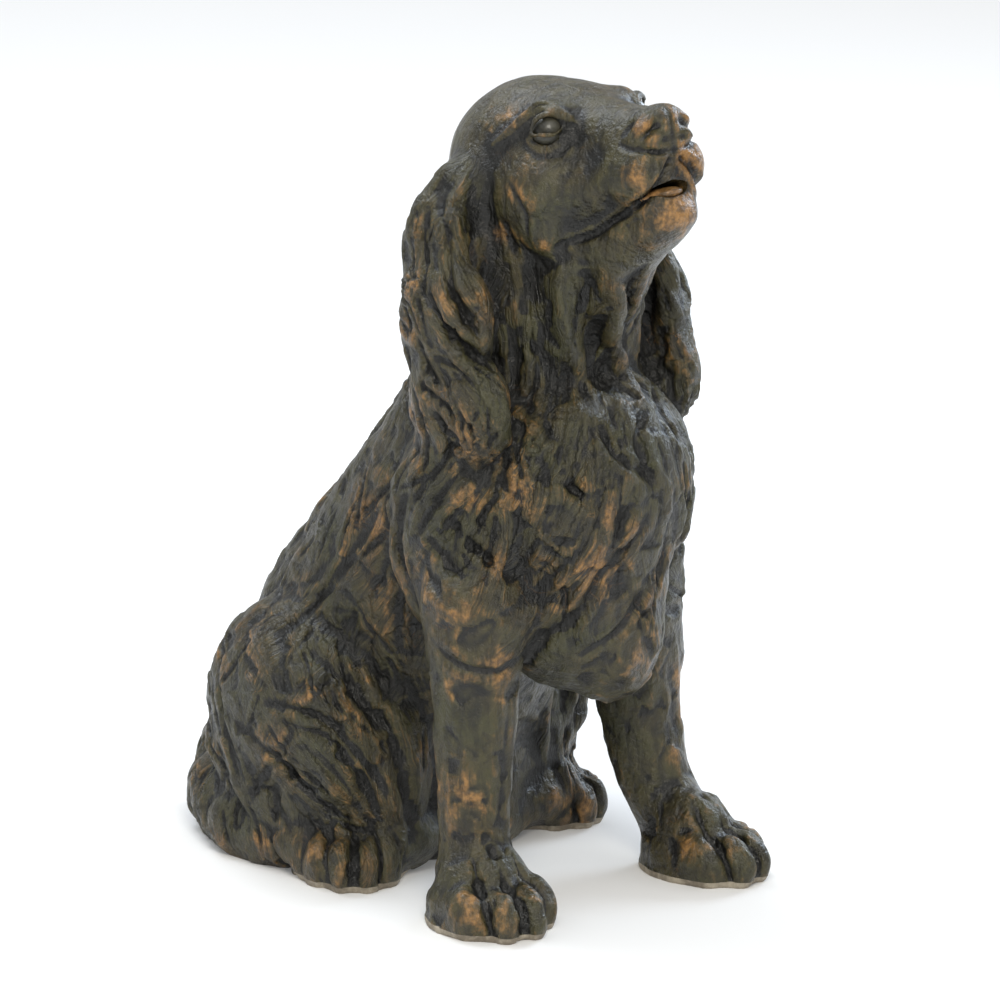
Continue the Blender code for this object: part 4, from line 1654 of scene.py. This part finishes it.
@dataclass
class Spaniel:
    """All parts of the dog on one bench."""

    grain: float = 1.3
    bed_grain: float = 3.0
    trunk: Trunk = field(default_factory=Trunk)
    ruff: ChestRuff = field(default_factory=ChestRuff)
    head: Head = field(default_factory=Head)
    ears: tuple[Ear, ...] = field(default_factory=lambda: (Ear.right(), Ear.left()))
    forelegs: tuple[Foreleg, ...] = field(default_factory=lambda: (Foreleg.right(), Foreleg.left()))
    haunches: tuple[Haunch, ...] = field(default_factory=lambda: (Haunch.right(), Haunch.left()))
    tail: Tail = field(default_factory=Tail)

    @property
    def parts(self) -> tuple:
        """Every part that adds clay."""
        return (self.trunk, self.ruff, self.head, *self.ears, *self.forelegs, *self.haunches, self.tail)

    def raise_form(self) -> tuple[bpy.types.Object, Comb]:
        """Presses the bare body, combs it and fuses everything."""
        bare = Bench()
        for part in self.parts:
            part.press(bare)
        bed_form = bare.press("bed", self.bed_grain, 9)
        bed = Bed(bed_form, np.random.default_rng(SEED))
        bench = Bench()
        bench.bm.from_mesh(bed_form.data)
        for part in self.parts:
            if hasattr(part, "crisp"):
                part.crisp(bench, bed.tree)
        comb = Comb(bench, bed.tree)
        for part in self.parts:
            if hasattr(part, "comb"):
                before = comb.count
                part.comb(comb, bed)
                log.info("%s: %d locks", type(part).__name__, comb.count - before)
        form = bench.press("skin", self.grain, 2)
        bpy.data.objects.remove(bed_form)
        log.info("skin: %d vertices", len(form.data.vertices))
        return form, comb

    def carve(self, form: bpy.types.Object) -> None:
        """Takes out the eye sockets, the mouth, and the hollow and drain in the seat."""
        fine, coarse = Bench(), Bench()
        for x in (-23.8, 23.8):
            fine.egg(Egg((x, 35.2, 7.8), (7.9, 7.9, 7.9)), self.head.axes, 4)
        self.head.cast(fine, (((-2, 58, -34), (7, 9, 1.4)), ((-3.5, 82, -29.5), (9.5, 13, 3.6))))
        coarse.egg(Egg((0, 128, 62), (35, 42, 40)), None, 4)
        coarse.roll((((0, 124, 50), 24), ((0, 124, -60), 24)))
        tools = (fine.press("fine_carver", 1.0, 1), coarse.press("coarse_carver", 3.0, 1))
        for tool in tools:
            cut = form.modifiers.new("carve", "BOOLEAN")
            cut.operation, cut.solver, cut.object = "DIFFERENCE", "MANIFOLD", tool
        graph = bpy.context.evaluated_depsgraph_get()
        carved = bpy.data.meshes.new_from_object(form.evaluated_get(graph))
        form.modifiers.clear()
        form.data = carved
        for tool in tools:
            bpy.data.objects.remove(tool)

    def sculpt(self) -> bpy.types.Object:
        """Builds, tools and carves the whole figure.

        Returns:
            The finished form, in millimetres, with its attributes.
        """
        form, comb = self.raise_form()
        skin = Skin(form.data)
        for part in self.parts:
            if hasattr(part, "tool"):
                part.tool(skin)
        skin.settle()
        self.texture(skin, comb)
        self.scratch(skin, comb)
        skin.co[:, 2] = np.maximum(skin.co[:, 2], 0.0)
        edge = np.abs(skin.co[:, 2] - 3.0) < 0.45 * self.grain
        skin.co[edge, 2] = 3.0
        skin.settle()
        self.mark(skin)
        self.carve(form)
        return form

    def texture(self, skin: Skin, comb: Comb) -> None:
        """Draws combing lines along the locks, and knife dabs and thumb marks everywhere."""
        lines = np.zeros(len(skin.co))
        across = np.zeros(len(skin.co))
        hair = np.zeros(len(skin.co))
        tree = KDTree(len(comb.strands))
        for index, (place, _, _, _, _) in enumerate(comb.strands):
            tree.insert(place, index)
        tree.balance()
        rng = np.random.default_rng(SEED + 1)
        seeds = rng.choice(len(skin.co), 2100, replace=False)
        dabs = KDTree(len(seeds))
        for index, seed in enumerate(seeds):
            dabs.insert(Vector(skin.co[seed]), index)
        dabs.balance()
        tilt = skin.no[seeds] + rng.normal(0, 0.10, (len(seeds), 3))
        tilt /= np.linalg.norm(tilt, axis=1)[:, None]
        lift = rng.normal(0, 0.16, len(seeds))
        owner = np.zeros(len(skin.co), dtype=np.int64)
        waves = np.zeros(len(skin.co))
        for index in range(len(skin.co)):
            place = Vector(skin.co[index])
            waves[index] = noise.noise(place / 21.0) * 1.3 + noise.noise(place / 7.0) * 0.3
            warped = place + noise.noise_vector(place / 5.0) * 1.6
            owner[index] = dabs.find(warped)[1]
            _, near, gap = tree.find(place)
            strand = comb.strands[near]
            if gap < 14.0:
                offset = (place - strand[0]).dot(strand[2]) + noise.noise(place / 9.0) * 2.0
                hair[index] = min(1.0, 2.0 - gap / 7.0)
                across[index] = offset + (strand[3] * 2.7) % 5.0
                lines[index] = math.sin(offset * 2.4 + strand[3] * 1.7) * max(0.0, 1.0 - gap / 14.0)
        plane = ((skin.co[seeds][owner] - skin.co) * tilt[owner]).sum(axis=1) + lift[owner]
        calm = np.ones(len(skin.co))
        for centre, radius in self.head.calm():
            gap = np.linalg.norm(skin.co - np.array(centre), axis=1) / radius
            calm = np.minimum(calm, np.clip((gap - 0.7) / 0.6, 0.35, 1.0))
        skin.push(calm * (waves * 0.6 + lines * 0.2 + np.clip(plane, -0.8, 0.8) * 0.7))
        skin.soften(1)
        skin.settle()
        for name, values in (("across", across), ("hair", hair)):
            layer = skin.mesh.attributes.new(name, "FLOAT", "POINT")
            layer.data.foreach_set("value", values.astype(np.float32))

    def scratch(self, skin: Skin, comb: Comb) -> None:
        """Pulls short tool marks along the lie of the hair."""
        rng = np.random.default_rng(SEED + 2)
        picks = rng.choice(len(comb.strands), 300, replace=False)
        for pick in picks:
            place, along, side, _, width = comb.strands[pick]
            way = (along + side * rng.normal(0, 0.35)).normalized()
            reach = rng.uniform(6, 17)
            start = place + side * rng.uniform(-width, width)
            path = [start - way * reach, start + side * rng.normal(0, 1.2), start + way * reach]
            skin.crease(path, rng.uniform(0.9, 1.6), rng.uniform(0.7, 1.9), rng.uniform(0.2, 0.7))
        skin.settle()

    def mark(self, skin: Skin) -> None:
        """Writes the ridge, swell and rub attributes that the finish reads; ridge and swell drive both its ochre wear
        and its painted shade in the hollows.
        """
        mesh = skin.mesh
        smooth = skin.co.copy()
        for times, name, scale in ((6, "ridge", 0.25), (40, "swell", 1.6)):
            for _ in range(times):
                smooth = skin.mean(smooth) if times > 1 else smooth
            height = ((skin.co - smooth) * skin.no).sum(axis=1) / scale
            layer = mesh.attributes.new(name, "FLOAT", "POINT")
            layer.data.foreach_set("value", np.clip(height, -1, 1).astype(np.float32))
        bare, kept = np.zeros(len(skin.co)), np.zeros(len(skin.co))
        for part in self.parts:
            for patch in getattr(part, "rubs", ()):
                gap = np.linalg.norm(skin.co - np.array(patch.centre), axis=1) / patch.radius
                reach = np.clip(1.35 - gap, 0, 1) * abs(patch.strength)
                if patch.strength > 0:
                    bare = np.maximum(bare, reach)
                else:
                    kept = np.maximum(kept, reach)
        rub = bare - kept * (bare < 0.05)
        layer = mesh.attributes.new("rub", "FLOAT", "POINT")
        layer.data.foreach_set("value", rub.astype(np.float32))


@dataclass
class Firing:
    """Takes the sculpted form apart and sets it in the frame."""

    spaniel: Spaniel
    shift: Vector
    traits: tuple[str, ...] = ("ridge", "swell", "rub", "across", "hair")
    crumb: int = 400

    def section(self, form: bpy.types.Object) -> dict[str, bpy.types.Object]:
        """Parts the form along the mould's lines.

        Args:
            form: The finished form, in millimetres.

        Returns:
            One closed object for each node name.
        """
        skin = Skin(form.data)
        tree = BVHTree.FromPolygons([tuple(p) for p in skin.co], [tuple(p.vertices) for p in form.data.polygons])
        corner = skin.corners()
        values = np.zeros((len(skin.co), len(self.traits)))
        for index, trait in enumerate(self.traits):
            flat = np.empty(len(skin.co))
            form.data.attributes[trait].data.foreach_get("value", flat)
            values[:, index] = flat
        every = np.hstack([skin.no, values])
        form.data.attributes.new("whole", "FLOAT", "POINT").data.foreach_set(
            "value", np.ones(len(skin.co), dtype=np.float32)
        )
        outward = form.data.attributes.new("outward", "FLOAT_VECTOR", "POINT")
        outward.data.foreach_set("vector", skin.no.ravel().astype(np.float32))
        pieces = Mould(self.spaniel.ears, self.spaniel.head.axes).take_apart(form)
        for name, piece in pieces.items():
            self.sweep(piece)
            self.close(piece, name, tree, corner, every)
        return pieces

    def sweep(self, piece: bpy.types.Object) -> None:
        """Drops the crumbs that the cuts leave behind."""
        mesh = piece.data
        edges = np.empty(len(mesh.edges) * 2, dtype=np.int64)
        mesh.edges.foreach_get("vertices", edges)
        edges = edges.reshape(-1, 2)
        label, last = np.arange(len(mesh.vertices)), None
        while last is None or (label != last).any():
            last = label
            low = last[edges].min(axis=1)
            label = last.copy()
            np.minimum.at(label, edges[:, 0], low)
            np.minimum.at(label, edges[:, 1], low)
            label = label[label]
        lumps, sizes = np.unique(label, return_counts=True)
        crumbs = np.flatnonzero(np.isin(label, lumps[sizes < self.crumb]))
        if len(crumbs):
            bm = bmesh.new()
            bm.from_mesh(mesh)
            bm.verts.ensure_lookup_table()
            bmesh.ops.delete(bm, geom=[bm.verts[index] for index in crumbs], context="VERTS")
            bm.to_mesh(mesh)
            bm.free()

    def close(
        self, piece: bpy.types.Object, name: str, tree: BVHTree, corner: np.ndarray, every: np.ndarray
    ) -> None:
        """Gives a section the skin's own shading and carries it into the frame.

        Args:
            piece: One section, in millimetres.
            name: Its node.
            tree: The whole skin.
            corner: Corners of each of the skin's faces.
            every: Normal and traits at each of the skin's vertices.
        """
        mesh = piece.data
        count = len(mesh.vertices)
        whole = np.empty(count)
        mesh.attributes["whole"].data.foreach_get("value", whole)
        normal = np.empty(count * 3)
        mesh.attributes["outward"].data.foreach_get("vector", normal)
        normal = normal.reshape(-1, 3)
        values = {trait: np.empty(count) for trait in self.traits}
        for trait, flat in values.items():
            mesh.attributes[trait].data.foreach_get("value", flat)
        for index in np.flatnonzero(whole < 0.999):
            place, _, face, gap = tree.find_nearest(mesh.vertices[index].co)
            normal[index] = 0.0
            if gap < 0.02:
                mean = every[corner[face]].mean(axis=0)
                normal[index] = mean[:3] / np.linalg.norm(mean[:3])
                for step, trait in enumerate(self.traits):
                    values[trait][index] = mean[3 + step]
        for trait, flat in values.items():
            mesh.attributes[trait].data.foreach_set("value", flat.astype(np.float32))
        for trait in ("whole", "outward"):
            mesh.attributes.remove(mesh.attributes[trait])
        mesh.transform(Matrix.Translation(self.shift) @ Matrix.Scale(MM, 4))
        mesh.materials.clear()
        mesh.polygons.foreach_set("material_index", np.zeros(len(mesh.polygons), dtype=np.int32))
        mesh.polygons.foreach_set("use_smooth", np.ones(len(mesh.polygons), dtype=bool))
        mesh.normals_split_custom_set_from_vertices(normal)
        piece.name = f"{name}_piece"
        mesh.name = piece.name
        mesh.calc_loop_triangles()
        log.info("%s: %d triangles", name, len(mesh.loop_triangles))


@dataclass
class Small:
    """Eyes and tongue, which are pressed by themselves."""

    axes: Matrix
    shift: Vector

    def ball(self, name: str, egg: Egg, rings: int) -> bpy.types.Object:
        """Presses one small egg.

        Args:
            name: Name of the piece.
            egg: Its shape, in the head's axes.
            rings: How finely it is divided.

        Returns:
            The piece, in metres.
        """
        bm = bmesh.new()
        bmesh.ops.create_icosphere(bm, subdivisions=rings, radius=1.0, matrix=egg.place(self.axes))
        bmesh.ops.recalc_face_normals(bm, faces=bm.faces)
        bmesh.ops.transform(bm, matrix=Matrix.Scale(MM, 4), verts=bm.verts)
        bmesh.ops.translate(bm, vec=self.shift, verts=bm.verts)
        mesh = bpy.data.meshes.new(name)
        bm.to_mesh(mesh)
        bm.free()
        mesh.polygons.foreach_set("use_smooth", np.ones(len(mesh.polygons), dtype=bool))
        piece = bpy.data.objects.new(name, mesh)
        bpy.context.scene.collection.objects.link(piece)
        return piece


# --- the studio -------------------------------------------------------------------------------


@dataclass
class Studio:
    """Camera, floor and soft light."""

    shift: Vector
    azimuth: float = 41.5
    drop: float = 15.0
    distance: float = 5.0
    span: float = 0.44248
    aside: float = -0.036549
    above: float = 0.170664

    def set_camera(self) -> None:
        """Sets a long lens level with the dog's shoulder, ahead and to its right."""
        turn, drop = math.radians(self.azimuth), math.radians(self.drop)
        look = Vector((math.sin(turn) * math.cos(drop), math.cos(turn) * math.cos(drop), -math.sin(drop)))
        right = Vector((math.cos(turn), -math.sin(turn), 0.0))
        up = Vector((math.sin(turn) * math.sin(drop), math.cos(turn) * math.sin(drop), math.cos(drop)))
        target = right * self.aside + up * self.above + self.shift
        lens = bpy.data.cameras.new("camera")
        lens.sensor_width = 36.0
        lens.lens = 36.0 * self.distance / self.span
        lens.clip_end = 50.0
        camera = bpy.data.objects.new("camera", lens)
        camera.location = target - look * self.distance
        camera.rotation_euler = look.to_track_quat("-Z", "Y").to_euler()
        bpy.context.scene.collection.objects.link(camera)
        bpy.context.scene.camera = camera

    def set_floor(self) -> None:
        """Lays a plain pale floor."""
        bm = bmesh.new()
        bmesh.ops.create_grid(bm, x_segments=1, y_segments=1, size=30.0)
        mesh = bpy.data.meshes.new("floor")
        bm.to_mesh(mesh)
        bm.free()
        floor = bpy.data.objects.new("floor", mesh)
        bpy.context.scene.collection.objects.link(floor)
        material = bpy.data.materials.new("pale_floor")
        material.use_nodes = True
        shader = material.node_tree.nodes["Principled BSDF"]
        shader.inputs["Base Color"].default_value = (0.77, 0.77, 0.77, 1)
        shader.inputs["Roughness"].default_value = 0.9
        shader.inputs["Emission Color"].default_value = (1, 1, 1, 1)
        shader.inputs["Emission Strength"].default_value = 0.10
        mesh.materials.append(material)

    def set_light(self) -> None:
        """Hangs soft boxes and lights the room evenly."""
        world = bpy.data.worlds.new("room")
        bpy.context.scene.world = world
        bpy.context.scene.view_settings.view_transform = "Standard"
        world.use_nodes = True
        n = Nodes(world.node_tree)
        sky = world.node_tree.nodes["Background"]
        axis = n.add("ShaderNodeSeparateXYZ")
        n.link(n.add("ShaderNodeTexCoord").outputs["Generated"], axis.inputs[0])
        height = axis.outputs["Z"]
        wall = n.ramp(height, 0.10, 0.05, (0.0, 0.82))
        n.link(n.sum("MAXIMUM", n.ramp(height, 0.15, 0.70, (0.10, 0.98)), wall), sky.inputs["Strength"])
        n.link(n.blend(n.ramp(height, 0.2, 0.8), (1.0, 0.99, 0.97, 1), (0.98, 0.99, 1.0, 1)), sky.inputs["Color"])
        self.soft_box("key", (-0.9, -1.2, 1.4), 0.6, 17, (1.0, 0.95, 0.84))
        self.soft_box("sky", (0.0, 1.0, 1.6), 0.9, 18, (0.86, 0.93, 1.0))
        self.soft_box("window", (1.3, 0.1, 0.7), 0.5, 11, (0.74, 0.86, 1.0))

    def soft_box(self, name: str, place: Triple, size: float, power: float, colour: Triple) -> None:
        """Hangs one soft box that looks at the dog.

        Args:
            name: Name of the light.
            place: Where it hangs.
            size: Side of its square face.
            power: Its power in watts.
            colour: Colour of its light.
        """
        light = bpy.data.lights.new(name, "AREA")
        light.energy, light.size, light.color = power, size, colour
        lamp = bpy.data.objects.new(name, light)
        lamp.location = place
        aim = Vector((0.0, 0.0, 0.18)) - Vector(place)
        lamp.rotation_euler = aim.to_track_quat("-Z", "Y").to_euler()
        bpy.context.scene.collection.objects.link(lamp)


def main() -> None:
    """Builds the dog in the frame, dresses it and sets the studio."""
    logging.basicConfig(level=logging.INFO, format="%(message)s", stream=sys.stdout)
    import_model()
    spaniel = Spaniel(grain=1.2)
    low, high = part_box("eye_right")
    eye = Vector((Vector(low) + Vector(high)) / 2)
    shift = eye - spaniel.head.axes @ Vector((-24.5, 36, 8)) * MM
    shift.z = 0.0
    form = spaniel.sculpt()
    pieces = Firing(spaniel, shift).section(form)
    small = Small(spaniel.head.axes, shift)
    pieces["eye_right"] = small.ball("eye_right_piece", Egg((-23.8, 35.2, 7.8), (7.6, 7.6, 7.6)), 4)
    pieces["eye_left"] = small.ball("eye_left_piece", Egg((23.8, 35.2, 7.8), (7.6, 7.6, 7.6)), 4)
    pieces["tongue"] = small.ball("tongue_piece", Egg((-3, 71.5, -31.0), (9.0, 13.5, 3.2)), 4)
    patina, eye_stain, tongue_stain, sole_clay = Patina().make(), EYE.make(), TONGUE.make(), SOLE.make()
    finishes = {"eye_right": eye_stain, "eye_left": eye_stain, "tongue": tongue_stain}
    for name, piece in pieces.items():
        piece.data.materials.append(sole_clay if name.endswith("_sole") else finishes.get(name, patina))
        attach(piece, BODY)
        node = "torso" if name == "mane" else name
        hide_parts(node)
        log.info("%s stands in the frame", name)
    studio = Studio(shift)
    studio.set_camera()
    studio.set_floor()
    studio.set_light()


if __name__ == "__main__":
    main()
